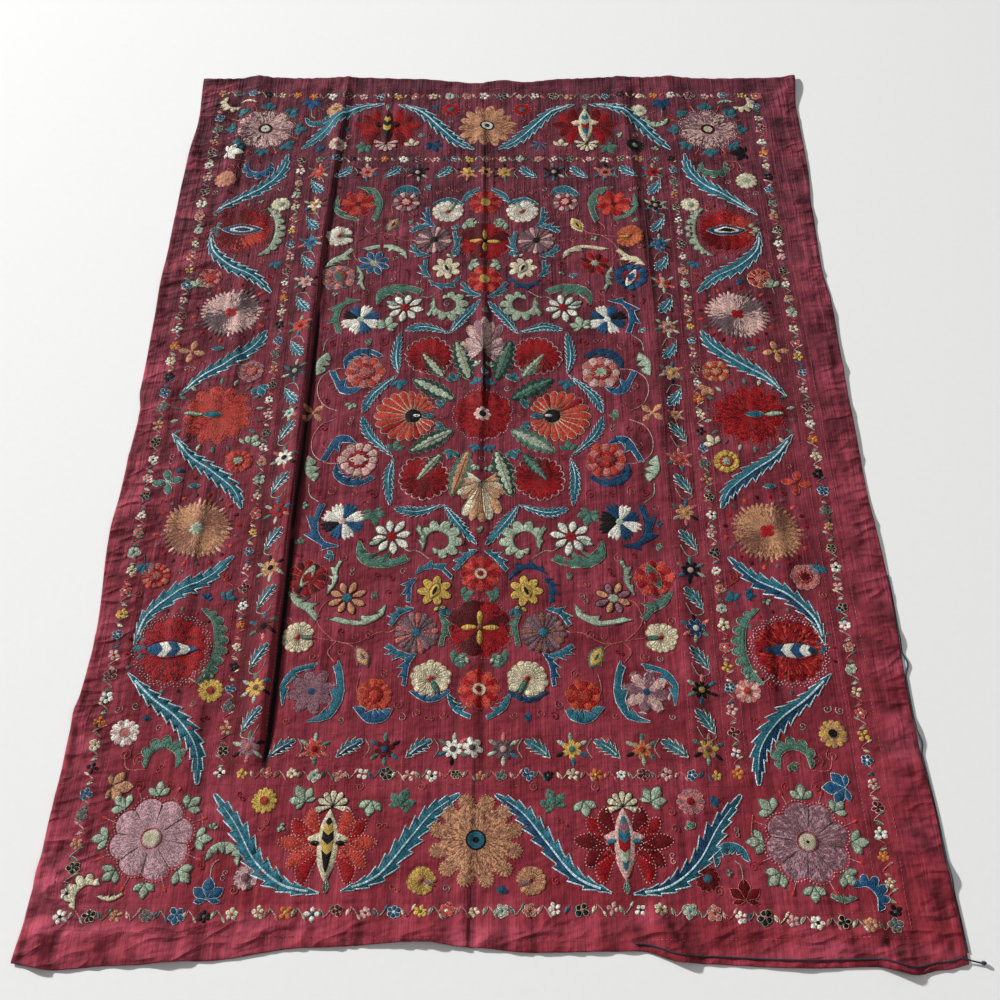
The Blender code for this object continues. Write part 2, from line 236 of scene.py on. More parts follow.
# Red petals beside a tall fruit: angle and length
FRUIT_PETALS = ((66, 0.078), (36, 0.084), (4, 0.094), (-30, 0.084), (-60, 0.086))


def linear(byte):
    """A screen colour's byte as the light it stands for."""
    share = byte / 255.0
    return share / 12.92 if share <= 0.04045 else ((share + 0.055) / 1.055) ** 2.4


def smooth(t):
    """Zero to one with level ends."""
    t = np.clip(t, 0.0, 1.0)
    return t * t * (3.0 - 2.0 * t)


def wander(rows, place):
    """An edge's distance from its line at places along it."""
    starts = np.array([row[0] for row in rows])
    reach = np.array([row[1] for row in rows])
    place = np.clip(place, starts[0], starts[-1])
    before = np.clip(np.searchsorted(starts, place) - 1, 0, len(rows) - 2)
    share = smooth((place - starts[before]) / (starts[before + 1] - starts[before]))
    return reach[before] + (reach[before + 1] - reach[before]) * share


def outline(x, y):
    """Moves points of the straight-edged sheet to where the real outline puts them."""
    near_left = smooth(1.0 - (x - LEFT_LINE) / EDGE_REACH)
    near_right = smooth(1.0 - (RIGHT_LINE - x) / EDGE_REACH)
    near_foot = smooth(1.0 - (y - FOOT_LINE) / EDGE_REACH)
    near_head = smooth(1.0 - (HEAD_LINE - y) / EDGE_REACH)
    moved_x = x - near_left * wander(LEFT_EDGE, y) + near_right * wander(RIGHT_EDGE, y)
    moved_y = y - near_foot * wander(FOOT_EDGE, x) + near_head * wander(HEAD_EDGE, x)
    return moved_x, moved_y


def fold_height(row, x, y):
    """Height that one fold adds at each point."""
    x1, y1, x2, y2, height, soft, steep, bow, fade = row
    length = math.hypot(x2 - x1, y2 - y1)
    run_x, run_y = (x2 - x1) / length, (y2 - y1) / length
    along = (x - x1) * run_x + (y - y1) * run_y
    t = along / length
    aside = (x - x1) * run_y - (y - y1) * run_x - bow * 4.0 * t * (1.0 - t)
    flank = 1.0 - np.abs(aside) / np.where(aside > 0.0, steep, soft)
    ends = smooth(along / fade) * smooth((length - along) / fade)
    return height * smooth(flank) * ends


def cloth_height(x, y):
    """Height of the cloth's underside above the floor."""
    swell = np.zeros_like(x)
    for height, across, along, phase_x, phase_y in SWELLS:
        wave_x = np.sin(2.0 * np.pi * (x / across + phase_x + SWELL_SLANT * y))
        swell += height * wave_x * np.sin(2.0 * np.pi * (y / along + phase_y))
    total = np.maximum(0.0, swell - SWELL_FLOOR)
    for row in FOLDS:
        total += fold_height(row, x, y)
    return total


def ripple_height(x, y):
    """Fine puckers that the stitching draws up."""
    total = np.zeros_like(x)
    for height, across, along, slant, phase in RIPPLES:
        wave = 1.0 + np.sin(2.0 * np.pi * (x / across + slant * y + phase))
        total += height * wave * (0.5 + 0.5 * np.sin(2.0 * np.pi * (y / along + x + phase)))
    return total


def margin_wrinkles():
    """Rows for fold_height: small slanting wrinkles that run in from the edges."""
    chance = random.Random(71)
    rows = []
    for line, inward in ((LEFT_LINE, 1.0), (RIGHT_LINE, -1.0)):
        for place in np.arange(-1.17, 1.2, SIDE_WRINKLE_PITCH):
            start, end = chance.uniform(-0.02, 0.03), chance.uniform(0.05, 0.14)
            slant, bow = chance.uniform(-0.06, 0.06), chance.uniform(-0.008, 0.008)
            height = chance.uniform(0.0008, 0.0042)
            rows.append((line + inward * start, place, line + inward * end, place + slant, height,
                         0.024, 0.013, bow, 0.03))
    for line, inward, steep in ((FOOT_LINE, 1.0, 0.014), (HEAD_LINE, -1.0, 0.016)):
        for place in np.arange(-0.8, 0.86, END_WRINKLE_PITCH):
            end, slant = chance.uniform(0.05, 0.12), chance.uniform(-0.07, 0.07)
            height = chance.uniform(0.0006, 0.0036)
            rows.append((place, line, place + slant, line + inward * end, height, 0.026, steep,
                         chance.uniform(-0.008, 0.008), 0.03))
    return rows


def crease_depth(x, y):
    """Share from 0 to 1 by which each point lies in a sharp crease."""
    total = np.zeros_like(x)
    for row in CREASES:
        total = np.maximum(total, fold_height(row, x, y))
    return total


def curve(points, shares):
    """Places along a smooth path through a few points, at shares from 0 to 1."""
    points = np.array(points, float)
    knots = np.vstack([2 * points[0] - points[1], points, 2 * points[-1] - points[-2]])
    place = np.clip(np.asarray(shares), 0.0, 1.0) * (len(points) - 1)
    first = np.minimum(place.astype(int), len(points) - 2)
    t = (place - first)[:, None]
    a, b, c, d = (knots[first + step] for step in range(4))
    bend = (2 * a - 5 * b + 4 * c - d) * t**2 + (3 * b - a - 3 * c + d) * t**3
    return 0.5 * (2 * b + (c - a) * t + bend)


def toward(angle, reach=1.0):
    """A step of some length, at an angle in degrees."""
    turned = math.radians(angle)
    return np.array([math.cos(turned), math.sin(turned)]) * reach


def ring(x, y, radius, steps):
    """Points around an almost full circle, for a closed line of stitches."""
    angles = np.radians(np.linspace(0.0, RING_END, steps))
    return np.stack([x + radius * np.cos(angles), y + radius * np.sin(angles)], axis=1)


def grown(rim, x, y, share):
    """A flower's rim drawn larger or smaller about its middle."""
    return (x, y) + (rim - (x, y)) * share


def sideways(path):
    """Unit steps along a path and to its left."""
    run = np.gradient(path, axis=0)
    run /= np.maximum(np.linalg.norm(run, axis=1, keepdims=True), 1e-9)
    return run, np.stack([-run[:, 1], run[:, 0]], axis=1)


def path_lengths(path):
    """Distance along a path at each of its points."""
    steps = np.linalg.norm(np.diff(path, axis=0), axis=1)
    return np.concatenate([[0.0], np.cumsum(steps)])


def new_piece(context, name, mesh, material):
    """A mesh as a smooth object of the scene, in its finish."""
    mesh.shade_smooth()
    mesh.materials.append(material)
    piece = bpy.data.objects.new(name, mesh)
    context.scene.collection.objects.link(piece)
    return piece


class Embroidery:
    """Raised patches of thread for one part of the design, gathered into one mesh."""

    rim_drop = 0.0004  # a patch's rim is sewn down below the cloth's face

    def __init__(self, name, seed):
        self.name = name
        self.chance = random.Random(seed)
        self.flip = (1.0, 1.0)
        self.quarter = 1
        self.points = []
        self.faces = []
        self.dyes = []
        self.lies = []
        self.count = 0

    def patch(self, x, y, lift, dye, across, along, closed=False):
        """Adds rows and columns of points; closed joins the last column to the first."""
        rows, columns = x.shape
        index = self.count + np.arange(rows * columns).reshape(rows, columns)
        near = index if closed else index[:, :-1]
        far = np.roll(index, -1, axis=1) if closed else index[:, 1:]
        quads = np.stack([near[:-1], near[1:], far[1:], far[:-1]], axis=-1).reshape(-1, 4)
        if self.flip[0] * self.flip[1] < 0:
            quads = quads[:, ::-1]
        if isinstance(dye, str):
            dye = THREAD_NUMBER[dye]
        dye = np.broadcast_to(dye, (rows - 1, columns if closed else columns - 1))
        tone = self.chance.random()
        shape = (rows, columns)
        parts = (x * self.flip[0], y * self.flip[1], np.broadcast_to(lift, shape))
        self.points.append(np.stack(parts, axis=-1).reshape(-1, 3))
        lie = (np.broadcast_to(across, shape), np.broadcast_to(along, shape), np.full(shape, tone))
        self.lies.append(np.stack(lie, axis=-1).reshape(-1, 3))
        self.faces.append(quads)
        self.dyes.append(dye.reshape(-1))
        self.count += rows * columns

    def places(self):
        """Where the design is already sewn."""
        return np.concatenate(self.points)[:, :2]

    def blossom(self, x, y, radius, dyes, lobes=8, depth=0.12, roundness=0.5, turn=0.0,
                stretch=1.0, eye=(), lift=0.0012, groove=0.35, wobble=0.02, mingle=0.3):
        """A round flower sewn from its middle outwards; returns its rim."""
        steps = lobes * 2 * max(3, math.ceil(math.pi * radius / (lobes * 0.0055)))
        phi = np.arange(steps) * 2.0 * np.pi / steps
        crest = np.abs(np.cos(lobes * phi / 2.0)) ** roundness
        profile = 1.0 - depth * (1.0 - crest)
        for wave in (2, 3, 5):
            phase = self.chance.uniform(0.0, 2.0 * math.pi)
            profile = profile * (1.0 + wobble * math.sqrt(2.0 / wave) * np.sin(wave * phi + phase))
        rings = np.linspace(0.0, 0.86, max(2, math.ceil(radius / 0.0095)) + 1).tolist()
        rings = np.unique(np.round(rings + [0.95, 1.0] + [share for share, _ in eye], 4))
        inner = max([share for share, _ in eye], default=0.0)
        t = rings[:, None]
        spread = smooth((t - inner) / 0.5)
        reach = radius * t * (1.0 + (profile[None] - 1.0) * spread)
        angle = phi[None] + math.radians(turn)
        px = x + reach * np.cos(angle)
        py = y + reach * np.sin(angle) * stretch
        height = lift * np.sqrt(np.maximum(0.0, 1.0 - t**5)) * (1.0 - groove * (1.0 - crest) * t**3)
        height = np.where(t < inner, height + 0.0005, height) - self.rim_drop * (t >= 1.0)
        numbers = np.array([THREAD_NUMBER[name] for name in dyes.split()])
        strays = np.array([[self.chance.uniform(-mingle, mingle) for _ in range(steps)]
                           for _ in rings[1:]])
        lobe = np.round(lobes * (phi + np.pi / steps) / (2.0 * np.pi) + strays).astype(int) % lobes
        colours = numbers[lobe % len(numbers)]
        for share, dye in eye:
            colours[rings[1:] <= share + 1e-6] = THREAD_NUMBER[dye]
        self.patch(px, py, height, colours, phi[None] * radius * 0.7, radius * t, closed=True)
        rim = radius * profile
        return np.stack([x + rim * np.cos(angle[0]), y + rim * np.sin(angle[0]) * stretch], axis=1)

    def blade(self, path, half_left, half_right, dyes, lift=0.0012, lean=0.0, slant=0.6):
        """A leaf or petal sewn outwards from its spine; dyes are for its right and left half,
        or for the bands along it."""
        run, left = sideways(path)
        shares = np.array([-1.0, -0.72, 0.0, 0.72, 1.0])
        half = np.where(shares[None] < 0.0, half_right[:, None], half_left[:, None])
        offset = half * shares[None]
        forward = np.broadcast_to(lean, path.shape[:1])[:, None] * np.abs(shares)[None]
        px = path[:, :1] + left[:, :1] * offset + run[:, :1] * forward
        py = path[:, 1:] + left[:, 1:] * offset + run[:, 1:] * forward
        full = np.minimum(1.0, half / 0.002)
        height = full * lift * np.array([0.0, 0.95, 0.72, 0.95, 0.0])[None]
        height = np.where(np.abs(shares)[None] == 1.0, -self.rim_drop, height)
        numbers = np.array([THREAD_NUMBER[name] for name in dyes.split()])
        if len(numbers) > 2:
            bands = np.arange(len(path) - 1) * len(numbers) // (len(path) - 1)
            colours = numbers[bands][:, None]
        else:
            colours = np.repeat(numbers[[0, -1]], 2)[None]
        length = path_lengths(path)[:, None]
        self.patch(px, py, height, colours, length - slant * np.abs(offset), np.abs(offset))
        return np.stack([px[:, -1], py[:, -1]], axis=1), np.stack([px[:, 0], py[:, 0]], axis=1)

    def line(self, path, dye="pink", width=0.0018, lift=0.001, closed=False):
        """One row of stitches along a path."""
        path = np.asarray(path, float)
        if closed:
            path = np.vstack([path, path[:1]])
        _, left = sideways(path)
        offset = np.array([-0.5, 0.0, 0.5]) * width
        height = np.array([-self.rim_drop, lift, -self.rim_drop])[None]
        px = path[:, :1] + left[:, :1] * offset
        py = path[:, 1:] + left[:, 1:] * offset
        self.patch(px, py, height, dye, path_lengths(path)[:, None], offset[None])

    def dot(self, x, y, radius=0.0017, dye="pink", lift=0.0019):
        """One knot of thread."""
        angle = np.arange(5)[None] * np.pi * 0.4
        t = np.array([0.0, 0.66, 1.0])[:, None]
        height = np.array([lift, lift * 0.8, -self.rim_drop])[:, None]
        px = x + radius * t * np.cos(angle)
        py = y + radius * t * np.sin(angle)
        self.patch(px, py, height, dye, px, py, closed=True)

    def dots(self, path, spacing=0.0072, dye="pink", radius=0.0017):
        """Knots at even steps along a closed rim."""
        path = np.vstack([path, path[:1]])
        length = path_lengths(path)
        for place in np.arange(0.0, length[-1], spacing):
            x = np.interp(place, length, path[:, 0])
            y = np.interp(place, length, path[:, 1])
            self.dot(x, y, radius, dye)

    def petal(self, x, y, angle, start, end, width, dyes, edge=None, fullness=0.75, steps=8,
              lift=0.0011):
        """A petal that points away from a flower's middle, at an angle in degrees. With no
        fullness it is a wedge with a round end."""
        reach = np.linspace(start, end, steps + 1)
        t = np.linspace(0.0, 1.0, steps + 1)
        if fullness:
            half = 0.5 * width * np.sin(np.pi * np.clip(t, 0.004, 0.996) ** 1.25) ** fullness
        else:
            t = 1.0 - (1.0 - t) ** 1.6
            reach = start + (end - start) * t
            ending = np.clip((t - 0.72) / 0.28, 0.0, 0.998)
            half = 0.5 * width * np.minimum(1.0, 0.12 + t / 0.8) * np.sqrt(1.0 - ending**2)
        path = (x, y) + reach[:, None] * toward(angle)
        left, right = self.blade(path, half, half, dyes, lift=lift, slant=0.2)
        if edge:
            self.line(np.vstack([left, right[::-1]]), edge, 0.0019, 0.0015)

    def whorl(self, x, y, size, turns, lengths, start, width, names, edge=None, fullness=0.75,
              steps=8):
        """Petals of uneven length about a middle, their start, width and range of lengths given as
        shares of the flower's size."""
        for k, turn in enumerate(turns):
            reach = size * self.chance.uniform(*lengths)
            self.petal(x, y, turn, size * start, reach, size * width, names[k % len(names)], edge,
                       fullness, steps)

    def saw_leaf(self, points, width, teeth, dyes, rib="ice", edge="ice", bite=0.46, thin=0.0032):
        """A long leaf with hooked teeth that point to its tip."""
        t = np.array([(k + o) / teeth for k in range(teeth) for o in (0.0, 0.4, 0.84, 0.97)] + [1.0])
        path = curve(points, t)
        body = 0.5 * width * np.sin(np.pi * np.clip(t, 0.01, 0.99) ** 1.12) ** 0.68
        part = (t * teeth) % 1.0
        hook = np.interp(part, [0.0, 0.4, 0.84, 0.97, 1.0], [0.0, 0.4, 1.0, 0.06, 0.0])
        hook[-1] = 0.0
        uneven = np.array([self.chance.uniform(0.88, 1.08) for _ in range(teeth + 1)])
        reach = body * (1.0 - bite * (1.0 - hook))
        reach = reach * uneven[np.minimum((t * teeth).astype(int), teeth)]
        lean = hook * 0.36 * body
        left, right = self.blade(path, reach, reach, dyes, lean=lean)
        for rim in (left, right):
            self.line(rim, edge, thin, 0.0018)
        core = path[2:-teeth // 2]
        taper = thin * 0.85 * np.linspace(1.0, 0.35, len(core))
        self.blade(core, taper, taper, rib, lift=0.0024)

    def thorn_leaf(self, points, width, thorns, dyes, edge, lobed, side):
        """A curling leaf with thorns or round lobes along one side."""
        offsets = (0.0, 0.2, 0.4, 0.6, 0.8) if lobed else (0.0, 0.4, 0.7, 0.86)
        t = np.array([(k + o) / thorns for k in range(thorns) for o in offsets] + [1.0])
        path = curve(points, t)
        body = width * np.sin(np.pi * np.clip(t, 0.015, 0.985)) ** 0.6
        part = (t * thorns) % 1.0
        if lobed:
            tooth = np.sin(np.pi * part) ** 0.6
        else:
            tooth = np.interp(part, [0.0, 0.4, 0.7, 0.86, 1.0], [0.0, 0.3, 1.0, 0.08, 0.0])
        outer = body * (0.36 + 0.72 * tooth)
        inner = body * 0.28
        halves = (outer, inner) if side > 0 else (inner, outer)
        lean = 0.0 if lobed else tooth * 0.4 * body
        left, right = self.blade(path, halves[0], halves[1], dyes, lean=lean)
        for rim in (left, right):
            self.line(rim, edge, 0.0018, 0.0016)
        if lobed:
            outer_rim = left if side > 0 else right
            for k in range(1, thorns):
                notch = k * len(offsets)
                self.line([outer_rim[notch], 0.4 * outer_rim[notch] + 0.6 * path[notch]], edge,
                          0.0014, 0.0016)

    def almond(self, x, y, length, width, turn, dyes, edge=None, teeth=0, bite=0.3, lift=0.0012,
               steps=12, lean=0.0):
        """A pointed oval, plain or in bands; its turn is in degrees."""
        t = np.linspace(0.0, 1.0, 2 * teeth + 1 if teeth else steps + 1)
        path = (x, y) + (t[:, None] - 0.5) * length * toward(turn)
        half = 0.5 * width * np.sin(np.pi * np.clip(t, 0.004, 0.996)) ** 0.85
        if teeth:
            half = half * (1.0 - bite * (np.arange(len(t)) % 2 == 0))
        left, right = self.blade(path, half, half, dyes, lift=lift, lean=lean * half)
        if edge:
            self.line(np.vstack([left, right[::-1]]), edge, 0.0015, lift + 0.0002)
        return np.vstack([left, right[::-1]])

    def spiral(self, x, y, radius, turn=0.0, dye="rose", turns=1.6, hand=1.0):
        """A curled tendril."""
        t = np.linspace(0.08, 1.0, 18)
        angle = math.radians(turn) + hand * t * turns * 2.0 * np.pi
        path = np.stack([x + radius * t * np.cos(angle), y + radius * t * np.sin(angle)], axis=1)
        self.line(path, dye, 0.0018, 0.0014)

    def stem(self, points, dye="sage", width=0.0026):
        """A stalk along a smooth path."""
        length = path_lengths(np.array(points))[-1]
        path = curve(points, np.linspace(0.0, 1.0, max(4, round(length / 0.006))))
        self.line(path, dye, width, 0.0013)

    def make(self, context):
        """Lays the gathered patches on the cloth as one object."""
        points = np.concatenate(self.points)
        faces = np.concatenate(self.faces)
        mesh = bpy.data.meshes.new(self.name)
        mesh.from_pydata(points.tolist(), [], faces.tolist())
        palette = np.array([dye_colour(context, name) for name, _ in THREADS])
        paint = palette[np.repeat(np.concatenate(self.dyes), 4)]
        dye = mesh.attributes.new("dye", "FLOAT_COLOR", "CORNER")
        dye.data.foreach_set("color", paint.ravel())
        lie = mesh.attributes.new("lie", "FLOAT_VECTOR", "POINT")
        lie.data.foreach_set("vector", np.concatenate(self.lies).ravel())
        work = bmesh.new()
        work.from_mesh(mesh)
        bmesh.ops.remove_doubles(work, verts=work.verts, dist=0.00002)
        surface = cloth_surface()
        for vert in work.verts:
            vert.co.x += DESIGN_X
            vert.co.y += DESIGN_Y
            top = height_on(surface, vert.co.x, vert.co.y)
            if top is None:
                raise RuntimeError(f"{self.name} reaches past the cloth's edge")
            vert.co.z += top
        work.to_mesh(mesh)
        work.free()
        places = np.zeros(len(mesh.vertices) * 3)
        mesh.vertices.foreach_get("co", places)
        places = places.reshape(-1, 3)
        # Share of each point in a crease, which the silk's finish paints dark as fold shadow.
        hollow = crease_depth(places[:, 0] - DESIGN_X, places[:, 1] - DESIGN_Y)
        mesh.attributes.new("hollow", "FLOAT", "POINT").data.foreach_set("value", hollow)
        piece = new_piece(context, self.name, mesh, bpy.data.materials[SILK])
        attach(piece, BODY)


def cloth_surface():
    """The laid cloth's upper face, to sew on."""
    cloth = bpy.data.objects.get(CLOTH_PIECE)
    if cloth is None:
        raise RuntimeError("lay the cloth before it is embroidered")
    places = [vert.co.copy() for vert in cloth.data.vertices]
    return BVHTree.FromPolygons(places, [tuple(face.vertices) for face in cloth.data.polygons])


def height_on(surface, x, y):
    """Height of a surface under a place, or None beside it."""
    hit = surface.ray_cast(Vector((x, y, 1.0)), Vector((0.0, 0.0, -1.0)))[0]
    return None if hit is None else hit.z


def dye_colour(context, name):
    """The panel's colour of a thread."""
    return (*getattr(context.scene.bedspread_threads, name), 1.0)


def split_dyes(dyes):
    """Petal, edge and eye threads from their slashed names; an edge of x is the eye's thread."""
    names = dyes.split("/")
    petals, edge, eye = names + [names[-1]] * (3 - len(names))
    return petals, eye if edge == "x" else edge, eye


def for_quarter(kit, choices):
    return choices[kit.quarter * len(choices) // len(QUARTERS)]


def rosette(kit, x, y, size, turn, dyes):
    """A small scalloped flower with a rim line and an eye."""
    petals, edge, eye = split_dyes(dyes)
    rim = kit.blossom(x, y, size, petals, lobes=12, depth=0.17, turn=turn, eye=((0.3, eye),))
    kit.line(rim, edge, 0.0015, closed=True)
    kit.line(ring(x, y, size * 0.34, 16), edge, 0.0016, 0.0021, closed=True)


def scallop(kit, x, y, size, turn, dyes):
    """A round flower with deep scallops and a looped rim line."""
    petals, edge, _ = split_dyes(dyes)
    rim = kit.blossom(x, y, size * 0.97, petals, lobes=18, depth=0.14, turn=turn, wobble=0.03,
                      groove=0.7, mingle=1.6)
    kit.line(grown(rim, x, y, 1.055), edge, 0.0027, 0.0018, closed=True)


def daisy(kit, x, y, size, turn, dyes):
    """Eight loose petals around an eye."""
    petals, edge, eye = split_dyes(dyes)
    kit.whorl(x, y, size, turn + 45 * np.arange(8), (0.9, 1.06), 0.22, 0.4, petals.split(),
              edge if edge != eye else None)
    kit.blossom(x, y, size * 0.27, eye, lobes=6, depth=0.1)


def star(kit, x, y, size, turn, dyes):
    """Four broad petals set crosswise."""
    petals, edge, eye = split_dyes(dyes)
    names = petals.split()
    for k in range(4):
        kit.petal(x, y, turn + 90 * k, size * 0.08, size, size * 0.52, names[k % len(names)],
                  edge if edge != eye else None, 0.6)
    kit.blossom(x, y, size * 0.16, eye, lobes=6, depth=0.1, lift=0.0016)


def shell(kit, x, y, size, turn, dyes):
    """A pale scalloped flower that its stalk enters from one side."""
    petals, edge, eye = split_dyes(dyes)
    kit.whorl(x, y, size, turn + 30 + 25 * np.arange(13), (0.94, 1.06), 0.1, 0.5, [petals], "tan", 0)
    kit.almond(*((x, y) + toward(turn, size * 0.45)), size * 0.9, size * 0.3, turn, eye, edge,
               lift=0.0022)
    kit.blossom(x, y, size * 0.15, "crimson", lobes=6, depth=0.1, lift=0.0024)


def gear(kit, x, y, size, turn, dyes):
    """Eight hooked lobes round a small eye."""
    petals, edge, eye = split_dyes(dyes)
    rim = kit.blossom(x, y, size, petals, lobes=8, depth=0.3, roundness=0.8, turn=turn,
                      eye=((0.16, eye),))
    kit.line(rim, edge, 0.0013, closed=True)
    for k in range(8):
        px, py = (x, y) + toward(turn + 45 * k, size)
        kit.petal(px, py, turn + 45 * k + 90, -size * 0.2, size * 0.2, size * 0.2, petals)


def carnation(kit, x, y, size, turn, dyes):
    """A ring of outlined round petals about a dark heart."""
    petals, edge, eye = split_dyes(dyes)
    kit.whorl(x, y, size, turn + 30 * np.arange(12), (0.9, 1.06), 0.34, 0.5, petals.split(), edge,
              0, 6)
    kit.blossom(x, y, size * 0.58, "crimson", lobes=9, depth=0.12, turn=turn, lift=0.0018)
    inner = kit.blossom(x, y, size * 0.4, eye, lobes=7, depth=0.16, turn=turn + 20, lift=0.0022)
    kit.line(inner, edge, 0.0018, 0.0024, closed=True)


def wheel(kit, x, y, size, turn, dyes):
    """Narrow petals set like spokes."""
    petals, edge, eye = split_dyes(dyes)
    kit.whorl(x, y, size, turn + 20 * np.arange(18), (0.93, 1.04), 0.16, 0.33, petals.split(), edge,
              0, 6)
    kit.blossom(x, y, size * 0.22, eye, lobes=8, depth=0.12, lift=0.002)


def pinwheel(kit, x, y, size, turn, dyes):
    """Eight wedges of unlike thread with nicked ends."""
    petals, _, eye = split_dyes(dyes)
    turns = turn + np.add.outer(45 * np.arange(8), (-12, 0, 12)).ravel()
    names = [name for name in petals.split() for _ in range(3)]
    kit.whorl(x, y, size, turns, (0.9, 1.03), 0.1, 0.28, names, None, 0.6, 6)
    kit.blossom(x, y, size * 0.18, eye, lobes=6, depth=0.1, lift=0.0018)


def pomegranate(kit, x, y, size, turn, dyes):
    """A lobed fruit flower, outlined, with a slit of dark seeds."""
    petals, edge, eye = split_dyes(dyes)
    rim = kit.blossom(x, y, size, petals, lobes=7, depth=0.42, roundness=0.9, turn=turn)
    kit.line(rim, edge, 0.0018, closed=True)
    kit.almond(x, y, size * 1.1, size * 0.62, turn - 38, petals, edge, lift=0.002)
    kit.almond(x, y, size * 0.66, size * 0.26, turn - 38, eye, None, lift=0.0026)
    px, py = (x, y) + toward(turn, size * 1.05)
    for angle in (60, -60):
        kit.petal(px, py, turn + angle, 0.0, size * 0.42, size * 0.26, petals, edge)


def bud(kit, x, y, size, turn, dyes):
    """A pointed bud with a toothed rim."""
    petals, edge, eye = split_dyes(dyes)
    kit.almond(x, y, size * 2.2, size * 1.5, turn, edge, None, teeth=9, bite=0.24)
    kit.almond(x, y, size * 1.8, size * 1.12, turn, petals, None, lift=0.0018)
    kit.almond(x, y, size * 0.9, size * 0.24, turn, eye, None, lift=0.0023)


def tulip(kit, x, y, size, turn, dyes):
    """Three pointed petals fanned from their stalk, or five in a large one."""
    petals, edge, _ = split_dyes(dyes)
    if edge == petals:
        edge = {"sage": "green", "cream": "brown"}.get(petals)
    fan = ((0, 1.0, 0.56), (52, 0.84, 0.46), (-52, 0.84, 0.46), (-100, 0.6, 0.26), (100, 0.6, 0.26))
    for angle, reach, width in fan if size > LEAST_FIVE_PETALLED else fan[:3]:
        kit.petal(x, y, turn + angle, 0.0, size * reach, size * width, petals, edge, 1.1)


def palm(kit, x, y, size, turn, dyes):
    """A fan of round petals with two that curl back, all outlined."""
    petals, edge, _ = split_dyes(dyes)
    for angle in (-104, 104, -66, 66, -33, 33, 0):
        reach = size * (1.0 if abs(angle) < 90 else 1.15)
        kit.petal(x, y, turn + angle, 0.0, reach, size * 0.44, petals, edge, 0, 8)


def leaf(kit, x, y, size, turn, dyes):
    """A small toothed leaf with a pale rib and rim."""
    petals, edge, eye = split_dyes(dyes)
    step = toward(turn, size * 0.5)
    bow = np.array([-step[1], step[0]]) * 0.12
    middle = np.array([x, y])
    kit.saw_leaf([middle - step, middle + bow, middle + step], size * 0.54, 5, petals, eye, edge,
                 0.62, 0.0023)


def floret(kit, x, y, size, dyes):
    """A tiny flower of the narrow bands."""
    petals, edge, eye = split_dyes(dyes)
    petal_count = kit.chance.choice((5, 6, 6, 7))
    rim = kit.blossom(x, y, size, petals, lobes=petal_count, depth=0.46, roundness=0.8,
                      turn=kit.chance.uniform(0, 60), lift=0.0011, eye=((0.3, eye),))
    if edge != eye:
        kit.line(rim, edge, 0.0012, closed=True)


def backed_floret(kit, x, y, size, dyes):
    """A small flower with dark and green leaves showing behind it."""
    for k in range(6):
        kit.petal(x, y, 30 + 60 * k + kit.chance.uniform(-9, 9), size * 0.6, size * 1.62,
                  size * 0.42, kit.chance.choice(("black", "sage", "teal", "green", "rose")), None,
                  0.7, 5)
    floret(kit, x, y, size, dyes)


def loose_floret(kit, x, y, size, dyes):
    """A tiny flower of a few uneven petals."""
    petals, edge, eye = split_dyes(dyes)
    count = kit.chance.choice((4, 5, 5, 6))
    turn = kit.chance.uniform(0.0, 360.0)
    for k in range(count):
        angle = turn + 360.0 * k / count + kit.chance.uniform(-10.0, 10.0)
        reach = size * kit.chance.uniform(0.82, 1.12)
        width = size * kit.chance.uniform(0.62, 0.84)
        kit.petal(x, y, angle, size * 0.12, reach, width, petals, edge if edge != eye else None,
                  0.6, 5)
    kit.blossom(x, y, size * 0.26, eye, lobes=5, depth=0.1, lift=0.0017)


def sprig(kit, x, y, size, turn, dyes):
    """A stalk with a leaf on each side and one at its tip."""
    petals, _, _ = split_dyes(dyes)
    tip = (x, y) + toward(turn, size)
    kit.line(curve([(x, y), tip], np.linspace(0, 1, 4)), petals, 0.0015)
    tulip(kit, x + (tip[0] - x) * 0.4, y + (tip[1] - y) * 0.4, size * 0.7, turn, dyes)


def club(kit, x, y, size, turn, dyes):
    """A long leaf with a toothed dark rim and a pale middle."""
    petals, edge, eye = split_dyes(dyes)
    step = toward(turn, size * 0.5)
    t = np.linspace(0.0, 1.0, 43)
    path = np.array([x, y]) + (t[:, None] * 2.0 - 1.0) * step
    body = (0.13 * size + 0.0032) * np.sin(np.pi * np.clip(t, 0.01, 0.99) ** 0.9) ** 0.7
    tooth = np.sin(np.pi * ((t * 7.0) % 1.0)) ** 0.7
    rim = body * (0.84 + 0.52 * tooth)
    middle = body[2:-2] * (0.42 + 0.34 * tooth[2:-2])
    left, right = kit.blade(path, rim, rim, edge, lean=0.2 * rim)
    kit.line(np.vstack([left, right[::-1]]), petals, 0.0013, 0.0014, closed=True)
    kit.blade(path[2:-2], middle, middle, petals, lift=0.0019)
    kit.line(path[5:-5], eye, 0.0022, 0.0026)


def almond(kit, x, y, size, turn, dyes):
    """A small pointed oval with a rim line."""
    petals, edge, _ = split_dyes(dyes)
    kit.almond(x, y, size, size * 0.42, turn, petals, edge, lift=0.0021)


MAKERS = {maker.__name__: maker for maker in (
    rosette, scallop, daisy, star, shell, gear, carnation, wheel, pinwheel, pomegranate, bud,
    tulip, palm, leaf, sprig, club, almond,
)}

# Quarters of the design, in the order that the tables give their threads
QUARTERS = ((-1.0, 1.0), (1.0, 1.0), (-1.0, -1.0), (1.0, -1.0))

# Threads of a red flower's two halves
BRIGHT_RED = "crimson " * 9
DEEP_RED = "wine wine crimson wine wine wine crimson wine wine"

